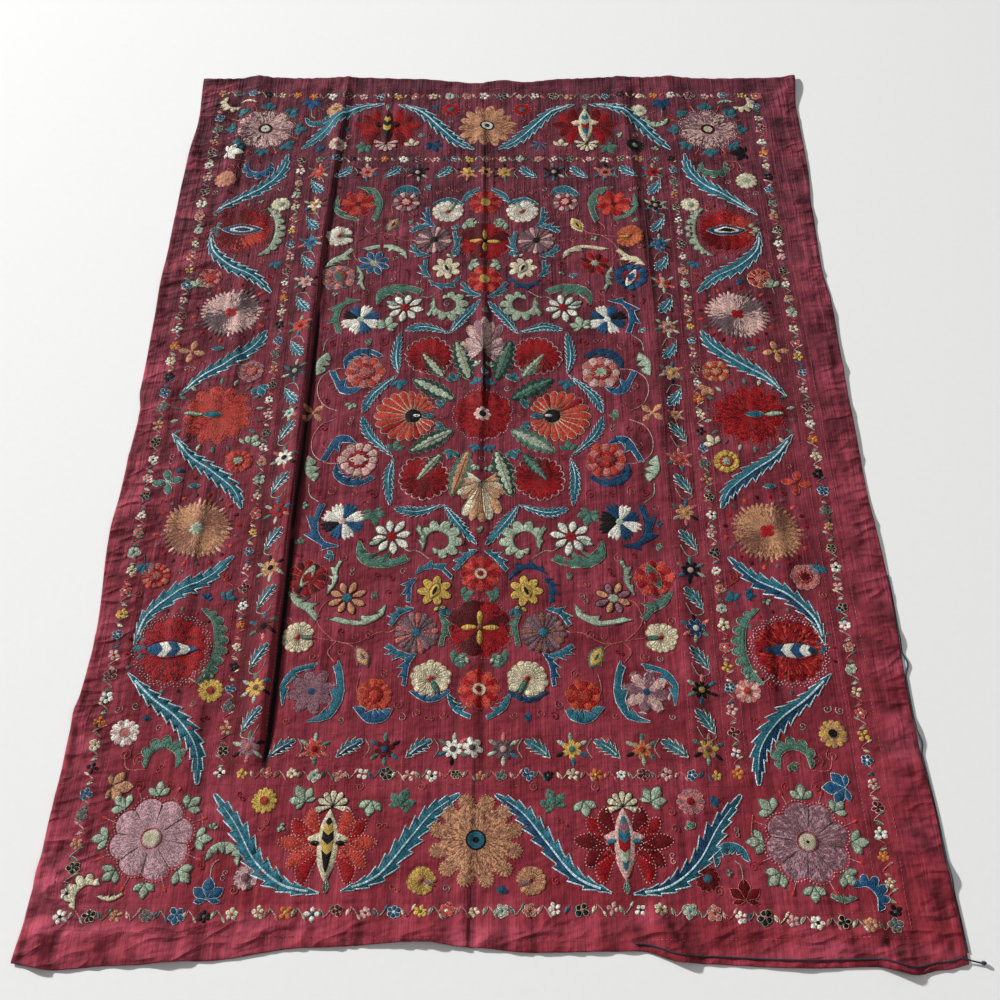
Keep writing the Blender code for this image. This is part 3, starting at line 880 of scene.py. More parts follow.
# Motifs that recur in each quarter. Columns: kind, x, y, size, turn, then the threads of petals,
# edge and eye, once for all quarters or for head left, head right, foot left and foot right
FIELD_MOTIFS = (
    ("daisy", 0.198, 0.336, 0.047, 10, "white/green/crimson"),
    ("almond", 0.232, 0.35, 0.034, 25, "sage/teal/teal"),
    ("tulip", 0.243, 0.27, 0.04, 105, "sage", "green"),
    ("pinwheel", 0.308, 0.297, 0.051, 22, "black blue white blue white blue white white/x/sage",
     "black blue white navy white blue white navy/x/white",
     "black blue white blue white blue white white/x/pink",
     "white navy white black black navy white navy/x/sage"),
    ("carnation", 0.285, 0.129, 0.048, 0, "coral rose/pink/rose", "pink rose/pink/sage",
     "pink/rose/pink", "coral rose/rose/coral"),
    ("almond", 0.285, 0.129, 0.05, 0, "teal/crimson/x", "crimson/sage/x", "white/crimson/x",
     "teal/darkred/x"),
    ("star", 0.4, 0.004, 0.032, 45, "tan", "x"),
    ("pomegranate", 0.098, 0.471, 0.038, 105, "cream/brown/black", "cream/mauve/black",
     "yellow/black/black", "yellow/black/black"),
    ("wheel", 0.134, 0.571, 0.049, 6, "mauve pink mauve grey/grey/black",
     "mauve pink mauve grey/grey/black", "mauve rose mauve grey/grey/teal",
     "mauve brown mauve grey/grey/teal"),
    ("shell", 0.099, 0.677, 0.042, 118, "white/sage/sage", "cream/green/green"),
    ("daisy", 0.285, 0.489, 0.042, 22, "blue/ice/sage", "crimson darkred/coral/sage",
     "tan/darkred/teal", "tan mauve/black/sage"),
    ("shell", 0.38, 0.583, 0.036, 178, "white/rose/green", "orange coral/coral/yellow",
     "cream/rose/green", "cream/darkred/green"),
    ("bud", 0.243, 0.627, 0.026, 118, "tan/green/black", "yellow/cream/black", "tan/grey/teal",
     "yellow/green/teal"),
    ("carnation", 0.374, 0.44, 0.044, 0, "mauve rose/sage/green", "navy blue/navy/blue",
     "darkred crimson/rose/crimson", "coral crimson/rose/crimson"),
    ("almond", 0.374, 0.436, 0.066, 65, "mauve/sage/x", "white/navy/x", "sage/green/x",
     "green/sage/x"),
    ("gear", 0.342, 0.705, 0.048, 12, "coral crimson/rose/darkred", "crimson coral/rose/darkred",
     "mauve/grey/blue", "mauve pink/grey/blue"),
    ("carnation", 0.213, 0.713, 0.036, 10, "pink mauve/grey/pink", "pink mauve/grey/pink",
     "coral/orange/coral", "coral crimson/orange/coral"),
    ("tulip", 0.04, 0.485, 0.03, 200, "sage", "green"),
    ("tulip", 0.055, 0.64, 0.036, 215, "sage", "green"),
    ("tulip", 0.072, 0.512, 0.026, 60, "teal"),
    ("tulip", 0.03, 0.625, 0.022, 60, "sage"),
)

# Curled tendrils. Columns: x, y, radius, turn and thread
FIELD_COILS = (
    (0.165, 0.733, 0.011, 20, "rose"), (0.125, 0.752, 0.01, 200, "rose"),
    (0.233, 0.577, 0.012, 90, "rose"), (0.262, 0.58, 0.008, 10, "rose"),
    (0.245, 0.225, 0.014, 130, "crimson"), (0.362, 0.085, 0.017, 30, "rose"),
    (0.372, 0.042, 0.013, 210, "crimson"), (0.34, 0.215, 0.014, 80, "rose"),
    (0.37, 0.218, 0.011, 280, "crimson"), (0.345, 0.628, 0.012, 0, "rose"),
    (0.404, 0.545, 0.01, 160, "rose"), (0.302, 0.39, 0.012, 60, "rose"),
    (0.072, 0.756, 0.009, 320, "rose"), (0.197, 0.665, 0.01, 90, "rose"),
    (0.265, 0.345, 0.008, 10, "crimson"), (0.18, 0.745, 0.007, 10, "rose"),
)

# Curling leaves. Columns: threads as above, width, thorns, whether the thorns are round lobes,
# side of the thorns seen along the run, then the points of the spine
FIELD_CURLS = (
    ("sage", 0.026, 9, True, 1, ((0.128, 0.352), (0.118, 0.326), (0.094, 0.316), (0.068, 0.33),
     (0.066, 0.358), (0.086, 0.374), (0.106, 0.366))),
    ("sage", 0.014, 2, False, 1, ((0.128, 0.372), (0.126, 0.34), (0.14, 0.304))),
    ("blue", 0.026, 4, False, 1, ((0.292, 0.084), (0.314, 0.068), (0.338, 0.074), (0.352, 0.1),
     (0.372, 0.134))),
    ("blue navy blue navy", 0.026, 5, False, 1, ((0.334, 0.14), (0.334, 0.168), (0.312, 0.19),
     (0.28, 0.195), (0.244, 0.178))),
    ("green blue blue navy", 0.024, 4, False, 1, ((0.312, 0.36), (0.35, 0.35), (0.368, 0.318),
     (0.366, 0.284), (0.352, 0.25))),
    ("green", 0.036, 4, False, 1, ((0.268, 0.345), (0.264, 0.384), (0.236, 0.402), (0.196, 0.404),
     (0.154, 0.394))),
    ("teal navy teal navy", 0.016, 4, False, 1, ((0.142, 0.43), (0.118, 0.414), (0.086, 0.416),
     (0.062, 0.444))),
    ("teal teal blue navy", 0.018, 4, False, -1, ((0.138, 0.44), (0.153, 0.462), (0.15, 0.5))),
    ("teal", 0.018, 4, False, -1, ((0.14, 0.514), (0.172, 0.526), (0.188, 0.556))),
    ("teal", 0.02, 4, False, 1, ((0.142, 0.624), (0.172, 0.616), (0.194, 0.598))),
    ("teal green", 0.018, 4, False, 1, ((0.086, 0.526), (0.074, 0.556), (0.084, 0.604))),
    ("blue teal blue blue", 0.018, 5, False, -1, ((0.132, 0.618), (0.15, 0.646), (0.152, 0.694))),
    ("teal teal blue navy", 0.018, 5, False, 1, ((0.142, 0.704), (0.112, 0.722), (0.084, 0.72),
     (0.058, 0.704))),
    ("teal", 0.017, 4, False, 1, ((0.064, 0.71), (0.05, 0.74), (0.016, 0.766))),
    ("green teal", 0.024, 3, False, 1, ((0.346, 0.77), (0.306, 0.76), (0.284, 0.722),
     (0.284, 0.676), (0.292, 0.636))),
    ("green teal", 0.018, 3, False, -1, ((0.398, 0.736), (0.402, 0.69), (0.378, 0.658),
     (0.334, 0.642))),
    ("teal teal blue teal", 0.024, 5, True, -1, ((0.176, 0.744), (0.192, 0.762), (0.222, 0.766),
     (0.254, 0.738))),
    ("sage cream sage sage", 0.02, 3, False, -1, ((0.202, 0.504), (0.212, 0.53), (0.256, 0.55),
     (0.324, 0.54))),
    ("sage cream sage green", 0.026, 4, False, 1, ((0.412, 0.474), (0.392, 0.5), (0.368, 0.514),
     (0.346, 0.544))),
    ("sage", 0.016, 4, False, 1, ((0.33, 0.482), (0.314, 0.448), (0.314, 0.42), (0.302, 0.396))),
    ("sage", 0.026, 3, True, 1, ((0.402, 0.118), (0.398, 0.16), (0.38, 0.19))),
    ("teal", 0.018, 4, False, -1, ((0.008, 0.372), (0.034, 0.39), (0.056, 0.424))),
)

FIELD_STEMS = (
    ("pink", (0.345, 0.012), (0.378, 0.03), (0.396, 0.07), (0.39, 0.112), (0.362, 0.136),
     (0.33, 0.14)),
    ("sage", (0.392, 0.196), (0.388, 0.226), (0.366, 0.246)),
    ("sage", (0.112, 0.392), (0.14, 0.372), (0.16, 0.372), (0.182, 0.35)),
    ("rose", (0.19, 0.57), (0.216, 0.572), (0.262, 0.596), (0.306, 0.59), (0.344, 0.584)),
    ("rose", (0.306, 0.59), (0.336, 0.56), (0.35, 0.52), (0.352, 0.478)),
    ("rose", (0.252, 0.648), (0.262, 0.606), (0.3, 0.592)),
    ("rose", (0.3, 0.592), (0.316, 0.616), (0.3, 0.64)),
    ("rose", (0.29, 0.488), (0.33, 0.5), (0.35, 0.552)),
    ("pink", (0.134, 0.622), (0.158, 0.56), (0.19, 0.57)),
    ("rose", (0.236, 0.73), (0.25, 0.7), (0.244, 0.662)),
)

MEDALLION_MOTIFS = (
    ("scallop", 0.131, 0.18, 0.058, 8, BRIGHT_RED + DEEP_RED + "/pink",
     BRIGHT_RED + DEEP_RED + "/pink", DEEP_RED + " " + BRIGHT_RED + "/pink",
     BRIGHT_RED + DEEP_RED + "/pink"),
    ("club", 0.122, 0.15, 0.092, 54, "sage/moss/tan", "sage/green/tan",
     "sage/moss/tan", "green/moss/sage"),
    ("club", 0.118, 0.076, 0.12, 32, "sage/moss/cream", "green/moss/sage", "sage/moss/tan",
     "sage/green/pink"),
    ("club", 0.05, 0.166, 0.13, 74, "sage/moss/yellow", "green/moss/tan", "tan/green/rose",
     "sage/moss/tan"),
    ("tulip", 0.202, 0.104, 0.032, 262, "teal", "green"),
    ("tulip", 0.092, 0.03, 0.024, 30, "teal/sage"),
    ("tulip", 0.068, 0.102, 0.028, 68, "teal/sage"),
    ("tulip", 0.014, 0.088, 0.024, 75, "teal"),
    ("tulip", 0.012, 0.146, 0.018, 60, "sage"),
)

# Toothed leaves that frame the medallion, in each quarter: the points of their spines
MEDALLION_LEAVES = (
    ((0.206, 0.12), (0.262, 0.06), (0.284, 0.006)),
    ((0.204, 0.124), (0.213, 0.18), (0.206, 0.254)),
    ((0.084, 0.252), (0.146, 0.272), (0.196, 0.262)),
    ((0.084, 0.252), (0.056, 0.296), (0.01, 0.358)),
)

# Large toothed leaves of the main border, in each quarter: the points of their spines
BORDER_LEAVES = (
    ((0.292, 1.11), (0.36, 1.096), (0.417, 1.052), (0.462, 0.982), (0.512, 0.92)),
    ((0.252, 1.108), (0.186, 1.078), (0.13, 1.01), (0.085, 0.955), (0.034, 0.92)),
    ((0.724, 0.664), (0.665, 0.72), (0.605, 0.766), (0.56, 0.828), (0.548, 0.902)),
    ((0.722, 0.6), (0.706, 0.534), (0.655, 0.48), (0.59, 0.44), (0.54, 0.386)),
    ((0.724, 0.056), (0.676, 0.118), (0.62, 0.16), (0.562, 0.212), (0.538, 0.262)),
)

BORDER_MOTIFS = (
    ("tulip", 0.716, 0.906, 0.046, 180, "white", "black", "tan/grey", "blue/ice"),
    ("rosette", 0.708, 0.795, 0.03, 0, "rose tan/pink/tan", "cream/sage/sage",
     "pink white/mauve/rose", "yellow tan/brown/black"),
    ("rosette", 0.548, 0.703, 0.026, 0, "cream/sage/sage", "cream/sage/sage", "yellow/tan/coral",
     "rose pink/pink/coral"),
    ("tulip", 0.555, 0.66, 0.022, 60, "pink", "sage"),
    ("carnation", 0.702, 0.436, 0.032, 0, "crimson rose/pink/coral", "crimson coral/cream/rose",
     "coral rose/coral/rose", "rose/pink/darkred"),
    ("sprig", 0.735, 0.385, 0.05, 100, "sage", "teal"),
    ("sprig", 0.548, 0.51, 0.04, 250, "teal"),
    ("star", 0.714, 0.192, 0.034, 10, "tan/x/rose", "tan/x/yellow", "green/ice/sage",
     "coral/rose/crimson"),
    ("carnation", 0.562, 0.132, 0.032, 0, "rose mauve/pink/rose", "tan coral/tan/tan",
     "coral/rose/sage", "yellow/yellow/sage"),
    ("tulip", 0.54, 0.086, 0.034, 240, "teal/ice", "tan", "sage", "cream"),
    ("almond", 0.652, 0.202, 0.03, 0, "teal/sage/x"),
    ("tulip", 0.69, 0.609, 0.036, 0, "teal/sage", "sage", "teal", "teal"),
    ("rosette", 0.432, 1.082, 0.024, 0, "tan/cream/brown", "cream/white/sage",
     "lilac pink/grey/mauve", "darkred wine/rose/teal"),
    ("tulip", 0.499, 1.122, 0.042, 270, "blue", "navy", "blue/ice", "wine/rose"),
    ("palm", 0.28, 0.944, 0.032, 270, "pink/darkred", "cream/darkred", "cream/black",
     "cream/black"),
    ("tulip", 0.15, 0.945, 0.04, 250, "navy", "navy mauve", "green", "green"),
    ("tulip", 0.205, 0.932, 0.034, 80, "cream", "sage"),
    ("tulip", 0.335, 0.936, 0.038, 300, "green", "sage"),
    ("rosette", 0.413, 0.934, 0.026, 0, "cream pink/mauve/rose", "black/grey/sage",
     "yellow/brown/coral", "mauve rose/pink/crimson"),
    ("rosette", 0.102, 1.086, 0.026, 0, "crimson/rose/teal", "x"),
    ("shell", 0.102, 1.086, 0.027, 160, "x", "x", "yellow/cream/mauve", "tan/cream/mauve"),
    ("leaf", 0.282, 1.096, 0.026, 90, "green/sage/sage"),
)

BORDER_COILS = (
    (0.7, 0.84, 0.013, 30, "rose"), (0.668, 0.85, 0.014, 200, "rose"),
    (0.452, 1.105, 0.011, 100, "rose"), (0.66, 0.905, 0.012, 100, "coral"),
    (0.73, 0.745, 0.01, 10, "pink"), (0.598, 0.69, 0.01, 10, "coral"),
    (0.55, 0.44, 0.011, 10, "coral"), (0.735, 0.48, 0.01, 10, "rose"),
    (0.23, 0.905, 0.009, 30, "rose"), (0.11, 0.905, 0.01, 80, "rose"),
    (0.6, 0.905, 0.01, 80, "coral"), (0.52, 1.06, 0.01, 80, "coral"),
)

BORDER_CURLS = (
    ("blue green green green", 0.02, 7, True, 1, ((0.655, 0.868), (0.65, 0.835), (0.622, 0.822),
     (0.596, 0.838), (0.594, 0.868))),
    ("sage green", 0.022, 10, True, 1, ((0.592, 0.515), (0.56, 0.548), (0.548, 0.603),
     (0.558, 0.655), (0.582, 0.69))),
    ("teal sage sage teal", 0.017, 6, True, 1, ((0.45, 1.06), (0.452, 1.034), (0.476, 1.018),
     (0.502, 1.026), (0.514, 1.05))),
    ("cream cream cream blue", 0.021, 6, True, 1, ((0.742, 1.14), (0.748, 1.112), (0.73, 1.092),
     (0.702, 1.096))),
    ("cream sage cream green", 0.012, 4, False, 1, ((0.706, 1.116), (0.68, 1.122), (0.656, 1.112))),
)

BORDER_STEMS = (
    ("sage", (0.552, 0.704), (0.575, 0.69), (0.596, 0.676)),
    ("rose", (0.7, 0.842), (0.69, 0.87), (0.655, 0.872)),
    ("coral", (0.532, 0.46), (0.556, 0.44), (0.548, 0.41)),
    ("sage", (0.498, 1.092), (0.497, 1.06), (0.486, 1.048)),
    ("rose", (0.53, 0.96), (0.524, 1.0), (0.542, 1.03)),
)

# Great flowers of the four corners: x, y, petals, eye, leaves, number of lobes and their depth
CORNER_ROSETTES = (
    (-0.622, 1.004, "pink pink grey pink mauve pink grey pink pink mauve",
     ((0.24, "black"), (0.155, "white")), "teal", 10, 0.16),
    (0.622, 1.002, "pink grey pink mauve grey pink pink grey pink mauve",
     ((0.24, "black"), (0.155, "cream")), "teal", 10, 0.16),
    (-0.62, -1.008, "lilac", ((0.2, "cream"),), "sage", 8, 0.15),
    (0.628, -1.012, "mauve lilac mauve mauve lilac mauve lilac mauve", ((0.2, "cream"),), "sage", 8,
     0.15),
)
CORNER_KNOTS = ((0.628, -1.012, 0.005), (-0.622, 1.004, 0.004))

# Flowers of fine rays: x, y, light and dark rays, middle and odd ray ends
RAYED_ROSETTES = (
    (-0.633, 0.318, "pink", "grey", "crimson", "pink"),
    (0.633, 0.312, "pink", "grey", "crimson", "pink"),
    (-0.63, -0.318, "tan", "brown", "sage", "pink"),
    (0.632, -0.322, "tan", "brown", "crimson", "tan"),
)
RED_ROSETTES = (
    (-0.626, 0.0, "coral coral crimson coral coral", "rose"),
    (0.63, 0.002, "crimson wine crimson crimson wine", "coral"),
)

# Red flowers with an almond across them: x, y, petals, the almond's bands, its rim and the knots
ALMOND_FLOWERS = (
    (-0.64, 0.608, "crimson " * 3 + "wine " * 11 + "coral " * 4, "blue white navy", "ice", "coral"),
    (0.635, 0.604, "coral " * 4 + "crimson " * 5 + "wine " * 5 + "crimson " * 4,
     "navy white black", "ice", "coral"),
    (-0.64, -0.612, "crimson crimson crimson darkred crimson", "blue blue white blue white blue",
     "teal", "pink"),
    (0.645, -0.612, "crimson coral crimson darkred crimson", "blue navy white blue white navy",
     "teal", "pink"),
)
MIDDLE_ROSETTES = (
    (0.002, 1.016, "tan brown tan", ((0.24, "black"), (0.18, "white"), (0.08, "black")), False),
    (-0.002, -1.01, "tan brown tan tan brown tan brown tan",
     ((0.26, "black"), (0.21, "teal"), (0.08, "black")), True),
)

# Tall fruits: x, y, petals, husk, bands, wings and knots
POMEGRANATES = (
    (-0.28, 1.012, "crimson wine crimson", "darkred", "black black yellow black yellow black",
     "black", "coral"),
    (0.278, 1.018, "wine crimson wine", "cream", "sage teal crimson sage teal sage", "pink",
     "coral"),
    (-0.284, -1.02, "coral crimson coral", "cream", "black black yellow black yellow black",
     "black", "pink"),
    (0.28, -1.016, "wine crimson wine", "pink", "teal sage crimson teal mauve teal", "teal",
     "pink"),
)

# Parts of the main border where tendrils are strewn: lowest and highest x and y
BORDER_BOXES = (
    (-0.735, -1.12, -0.53, 1.12), (0.53, -1.12, 0.735, 1.12), (-0.53, -1.125, 0.53, -0.9),
    (-0.53, 0.9, 0.53, 1.12),
)

# Flowers and leaves of the inner border: x, y, then the threads of petals, edge and eye
SIDE_FLOWERS = (
    (0.7, "yellow white/x/rose", "black/cream/pink", "yellow/x/brown", "black/rose/yellow"),
    (0.56, "blue teal/ice/navy", "blue/ice/teal", "darkred/rose/black", "navy/ice/white"),
    (0.42, "pink/black/rose", "coral pink/black/tan", "tan/yellow/black", "black/blue/pink"),
    (0.272, "coral/rose/crimson", "pink tan/rose/mauve", "crimson/darkred/grey",
     "tan/yellow/yellow"),
    (0.128, "black/grey/sage", "tan/white/yellow", "white/cream/black", "coral/white/rose"),
    (0.0, "sage/x/teal", "tan/x/brown", "sage/x/teal", "tan/x/brown"),
)
SIDE_LEAVES = (0.77, 0.63, 0.49, 0.345, 0.198, 0.052)
END_FLOWERS = (
    (0.05, "tan yellow/x/yellow", "tan yellow/x/yellow", "white/black/grey", "grey/mauve/pink"),
    (0.186, "black/x/pink", "black/x/pink", "darkred/x/blue", "yellow/x/green"),
    (0.325, "rose/pink/crimson", "rose/pink/darkred", "coral/white/crimson", "orange tan/x/coral"),
    (0.456, "coral/rose/tan", "crimson/rose/darkred", "mauve/pink/rose", "tan yellow/x/brown"),
)
END_LEAVES = (0.118, 0.256, 0.39)
INNER_LEAF_DYES = ("teal/ice/ice", "teal/ice/ice", "navy teal/white/white", "teal/white/sage")

# Runs of the narrow band around the inner border: both ends, pitch and number of its first flower
INNER_FLORET = 0.0125
INNER_BANDS = (
    ((-0.507, -0.881), (-0.507, 0.88), 0.0468, 0), ((0.512, -0.881), (0.512, 0.88), 0.0468, 7),
    ((-0.46, 0.88), (0.465, 0.88), 0.0465, 3), ((-0.46, -0.881), (0.465, -0.881), 0.0465, 12),
)

# Threads of the tiny flowers, in turn along each narrow band
BAND_DYES = (
    "white/x/black", "black/cream/black", "tan/x/brown", "grey/sage/teal", "blue/ice/navy",
    "black/x/grey", "cream/x/rose", "orange/x/yellow", "white/x/teal", "darkred/pink/black",
    "pink/x/crimson", "navy/ice/white", "yellow/x/brown", "coral/pink/white", "cream/x/coral",
    "sage/white/teal", "rose/cream/crimson", "white/x/coral", "black/sage/rose", "pink/x/rose",
)
BAND_LEAVES = ("sage", "green", "pink", "teal", "cream", "sage", "rose")


def place_motifs(kit, rows):
    for kind, x, y, size, turn, *threads in rows:
        dyes = for_quarter(kit, threads)
        if dyes != "x":
            MAKERS[kind](kit, x, y, size, turn, dyes)


def place_coils(kit, rows):
    """Sews the curled tendrils of one table."""
    for x, y, radius, turn, dye in rows:
        kit.spiral(x, y, radius, turn, dye)


CURL_EDGES = {"sage": "green", "cream": "brown", "blue": "ice", "navy": "blue", "teal": "ice",
              "green": "sage"}


def place_curls(kit, rows):
    for threads, width, thorns, lobed, side, spine in rows:
        dye = for_quarter(kit, threads.split())
        kit.thorn_leaf(spine, width, thorns, dye, CURL_EDGES.get(dye, "sage"), lobed, side)


def place_stems(kit, rows):
    """Sews the stalks of one table."""
    for dye, *points in rows:
        kit.stem(points, dye)


def fill_with_curls(kit, others, box, count, dyes):
    """Sews curled tendrils and small leaves where the ground between the flowers is bare."""
    x1, y1, x2, y2 = box
    cells = (math.ceil((x2 - x1) / FILL_CELL) + 1, math.ceil((y2 - y1) / FILL_CELL) + 1)
    taken = np.zeros(cells, bool)
    for places in others:
        inside = (places > (x1, y1)).all(axis=1) & (places < (x2, y2)).all(axis=1)
        spots = ((places[inside] - (x1, y1)) / FILL_CELL).astype(int)
        taken[spots[:, 0], spots[:, 1]] = True
    names = dyes.split()
    tries = count * FILL_TRIES
    while count and tries:
        tries -= 1
        radius = kit.chance.uniform(*FILL_RADII)
        x = kit.chance.uniform(x1 + FILL_INSET, x2 - FILL_INSET)
        y = kit.chance.uniform(y1 + FILL_INSET, y2 - FILL_INSET)
        near = math.ceil((radius + 0.001) / FILL_CELL)
        column, row = int((x - x1) / FILL_CELL), int((y - y1) / FILL_CELL)
        spot = (slice(column - near, column + near + 1), slice(row - near, row + near + 1))
        if taken[spot].any():
            continue
        taken[spot] = True
        turn, hand = kit.chance.uniform(0.0, 360.0), kit.chance.choice((-1.0, 1.0))
        step = toward(turn, radius)
        dye = names[count % len(names)]
        count -= 1
        if kit.chance.random() < LEAFY_SHARE:
            tulip(kit, x - 0.7 * step[0], y - 0.7 * step[1], radius * 1.6, turn,
                  kit.chance.choice(("teal/ice", "sage/green", "green/sage", "blue/teal")))
        elif radius > LEAST_DOUBLE_CURL:
            for end in (-0.55, 0.55):
                winding = hand if end > 0.0 else -hand
                start = turn + (0.0 if end < 0.0 else 180.0) - winding * 450.0
                kit.spiral(x + end * step[0], y + end * step[1], radius * 0.6, start, dye, 1.25,
                           winding)
        else:
            kit.spiral(x, y, radius, turn, dye, 1.4, hand)


def sew_tables(kit, stems, curls, motifs, coils):
    place_stems(kit, stems)
    place_curls(kit, curls)
    place_motifs(kit, motifs)
    place_coils(kit, coils)


def in_each_quarter(kit, sew, *tables):
    """Sews the same part of the design four times, mirrored."""
    for kit.quarter, kit.flip in enumerate(QUARTERS):
        sew(kit, *tables)
    kit.flip = (1.0, 1.0)


def around(x, y, count, reach, start):
    """Places in a ring about a flower: x, y and the angle of each."""
    for k in range(count):
        angle = start + 360.0 * k / count
        yield (*((x, y) + toward(angle, reach)), angle)


def corner_rosette(kit, x, y, petals, eye, leaf_dye, lobes, depth):
    """A great round corner flower with a ring of pointed leaves and stalked buds."""
    radius = 0.08
    rim = kit.blossom(x, y, radius, petals, lobes=lobes, depth=depth, roundness=0.7, turn=14,
                      eye=eye, lift=0.0015, groove=0.75, wobble=0.012, mingle=1.1)
    kit.dots(grown(rim, x, y, 1.04), 0.0066, "pink", 0.0017)
    spokes = rim - (x, y)
    reach = np.hypot(spokes[:, 0], spokes[:, 1])
    for k in np.flatnonzero((reach < np.roll(reach, 1)) & (reach <= np.roll(reach, -1))):
        notch = [(x, y) + spokes[k] * share for share in (0.42, 0.7, 0.96)]
        kit.line(notch, "grey", 0.003, 0.0022)
    kit.line(ring(x, y, radius * 0.25, 18), "crimson", 0.0052, 0.0024, closed=True)
    for px, py, angle in around(x, y, 8, radius * 1.03, 0.0):
        tulip(kit, px, py, 0.034 * kit.chance.uniform(0.88, 1.08), angle, f"{leaf_dye}/green")
    for px, py, angle in around(x, y, 8, radius * 1.03, 22.5):
        step = toward(angle)
        kit.line((px, py) + step * np.array([[-0.004], [0.006], [0.016]]), "pink", 0.0016)
        kit.almond(px + 0.021 * step[0], py + 0.021 * step[1], 0.013, 0.007, angle, "coral")


def rayed_rosette(kit, x, y, light, dark, middle, edge):
    """A side flower of fine rays in light and dark quarters with small red petals around."""
    radius = 0.072
    names = [dark] * 7 + [light] * 9 + [dark] * 8 + [light] * 8
    kit.blossom(x, y, radius, " ".join(names), lobes=32, depth=0.1, roundness=0.7, turn=4,
                lift=0.0015, groove=0.5, wobble=0.02, mingle=2.6)
    for k in range(40):
        dye = names[(k * 32 // 40 + kit.chance.choice((-1, 0, 0, 1))) % 32]
        kit.petal(x, y, 9 * k + 2, radius * 0.84, radius * kit.chance.uniform(1.02, 1.17), 0.008,
                  dye if k % 5 else edge, None, 0.7, 4)
    for k in range(20):
        kit.petal(x, y, 18 * k + 8, radius * 1.16, radius * kit.chance.uniform(1.3, 1.4), 0.011,
                  ("crimson", "darkred", "coral", "grey")[k % 4], None, 0.8, 5)
    kit.blossom(x, y, 0.019, middle, lobes=4 if middle != "sage" else 7, depth=0.3, turn=45,
                lift=0.0024)


def red_rosette(kit, x, y, dyes, knots):
    """The side's middle flower: deep red lobes with a pair of leaves across its heart."""
    rim = kit.blossom(x, y, 0.084, dyes, lobes=12, depth=0.22, roundness=0.8, turn=10, lift=0.0016,
                      groove=0.6, wobble=0.035, mingle=1.0)
    kit.line(grown(rim, x, y, 0.98), knots, 0.0018, 0.001, closed=True)
    for reach in (0.62, 0.8, 1.06):
        kit.dots(grown(rim, x, y, reach), 0.008, knots)
    for k, (px, py, angle) in enumerate(around(x, y, 18, 0.101, 11)):
        kit.almond(px, py, 0.02, 0.01, angle, ("sage", "green", "grey")[k % 3])
    side = 1.0 if x > 0 else -1.0
    kit.almond(x + side * 0.012, y, 0.048, 0.02, 0, "teal", "sage", lift=0.0026)
    kit.almond(x + side * 0.056, y, 0.05, 0.014, 0, "sage", "green", lift=0.0026)


def almond_flower(kit, x, y, fills, almond_bands, edge, knots):
    """A round red flower with a banded blue almond across it and rows of knots around it."""
    rim = kit.blossom(x, y, 0.074, fills, lobes=18, depth=0.1, roundness=0.8, turn=5,
                      lift=0.0016, groove=0.45, wobble=0.02, mingle=2.0)
    for reach in (1.05, 1.14):
        kit.dots(grown(rim, x, y, reach), 0.0076, knots, 0.0018)
    for k in range(18):
        kit.petal(x, y, 20 * k + 5, 0.088, 0.1, 0.009, ("crimson", "green", "darkred")[k % 3],
                  None, 0.7, 4)
    bands = almond_bands.split()
    if len(bands) > 3:
        kit.almond(x, y, 0.112, 0.04, 0, almond_bands, edge, lift=0.0028, steps=3 * len(bands),
                   lean=-0.7 if x < 0 else 0.7)
        return
    for share, dye in zip((1.0, 0.7, 0.44), bands):
        kit.almond(x, y, 0.108 * share, 0.038 * share, 0, dye, edge if share == 1.0 else None,
                   lift=0.0036 - 0.001 * share)


def middle_rosette(kit, x, y, dyes, eye, knobbed):
    """The tan flower at the middle of the head or foot border."""
    if not knobbed:
        kit.blossom(x, y, 0.086, dyes, lobes=14, depth=0.26, roundness=0.8, turn=6, eye=eye,
                    lift=0.0016, groove=0.6, wobble=0.03, mingle=0.8)
        return
    for px, py, _ in around(x, y, 12, 0.0755, 15):
        outer = kit.blossom(px, py, 0.0158, "tan brown tan tan", lobes=10, depth=0.06, mingle=3.0)
        kit.dots(outer, 0.0068, "tan")
    kit.blossom(x, y, 0.076, dyes, lobes=12, depth=0.12, roundness=0.7, turn=15, eye=eye,
                lift=0.0017, groove=0.3, wobble=0.02, mingle=5.0)


def border_pomegranate(kit, x, y, petals, outer, bands, wings, knots):
    """A tall pointed fruit, banded and winged, between two fans of red petals."""
    names = petals.split()
    for side in SIDES:
        kit.blossom(x + side * 0.04, y + 0.004, 0.037, petals, lobes=6, depth=0.1, stretch=1.25,
                    lift=0.0009, mingle=2.0)
        for k, (angle, reach) in enumerate(FRUIT_PETALS):
            heart, bulge, tip = (0.01, 0.0), toward(angle * 0.72, reach) * 0.62, toward(angle, reach)
            spine = curve([(x + side * ahead, y + up) for ahead, up in (heart, bulge, tip)],
                          np.linspace(0.0, 1.0, 10))
            half = 0.0155 * np.sin(np.pi * np.linspace(0.1, 0.985, 10) ** 1.2) ** 0.55
            left, right = kit.blade(spine, half, half, names[k % len(names)], slant=0.2)
            kit.dots(np.vstack([left[2:], right[:1:-1]]), 0.0066, knots, 0.0017)
    kit.almond(x, y, 0.14, 0.046, 90, outer, lift=0.0026)
    kit.almond(x, y + 0.012, 0.082, 0.034, 0, outer, lift=0.0026)
    kit.almond(x, y, 0.112, 0.029, 90, bands, lift=0.0034, steps=3 * len(bands.split()), lean=0.9)
    for side in (0, 180):
        kit.petal(x, y + 0.004, side, 0.012, 0.034, 0.011, wings, None, 0.6, 6, lift=0.0034)


def run_between(start, end):
    """Length of a straight run, its unit step and the unit step to its left."""
    run = np.subtract(end, start)
    reach = np.linalg.norm(run)
    step = run / reach
    return reach, step, np.array([-step[1], step[0]])


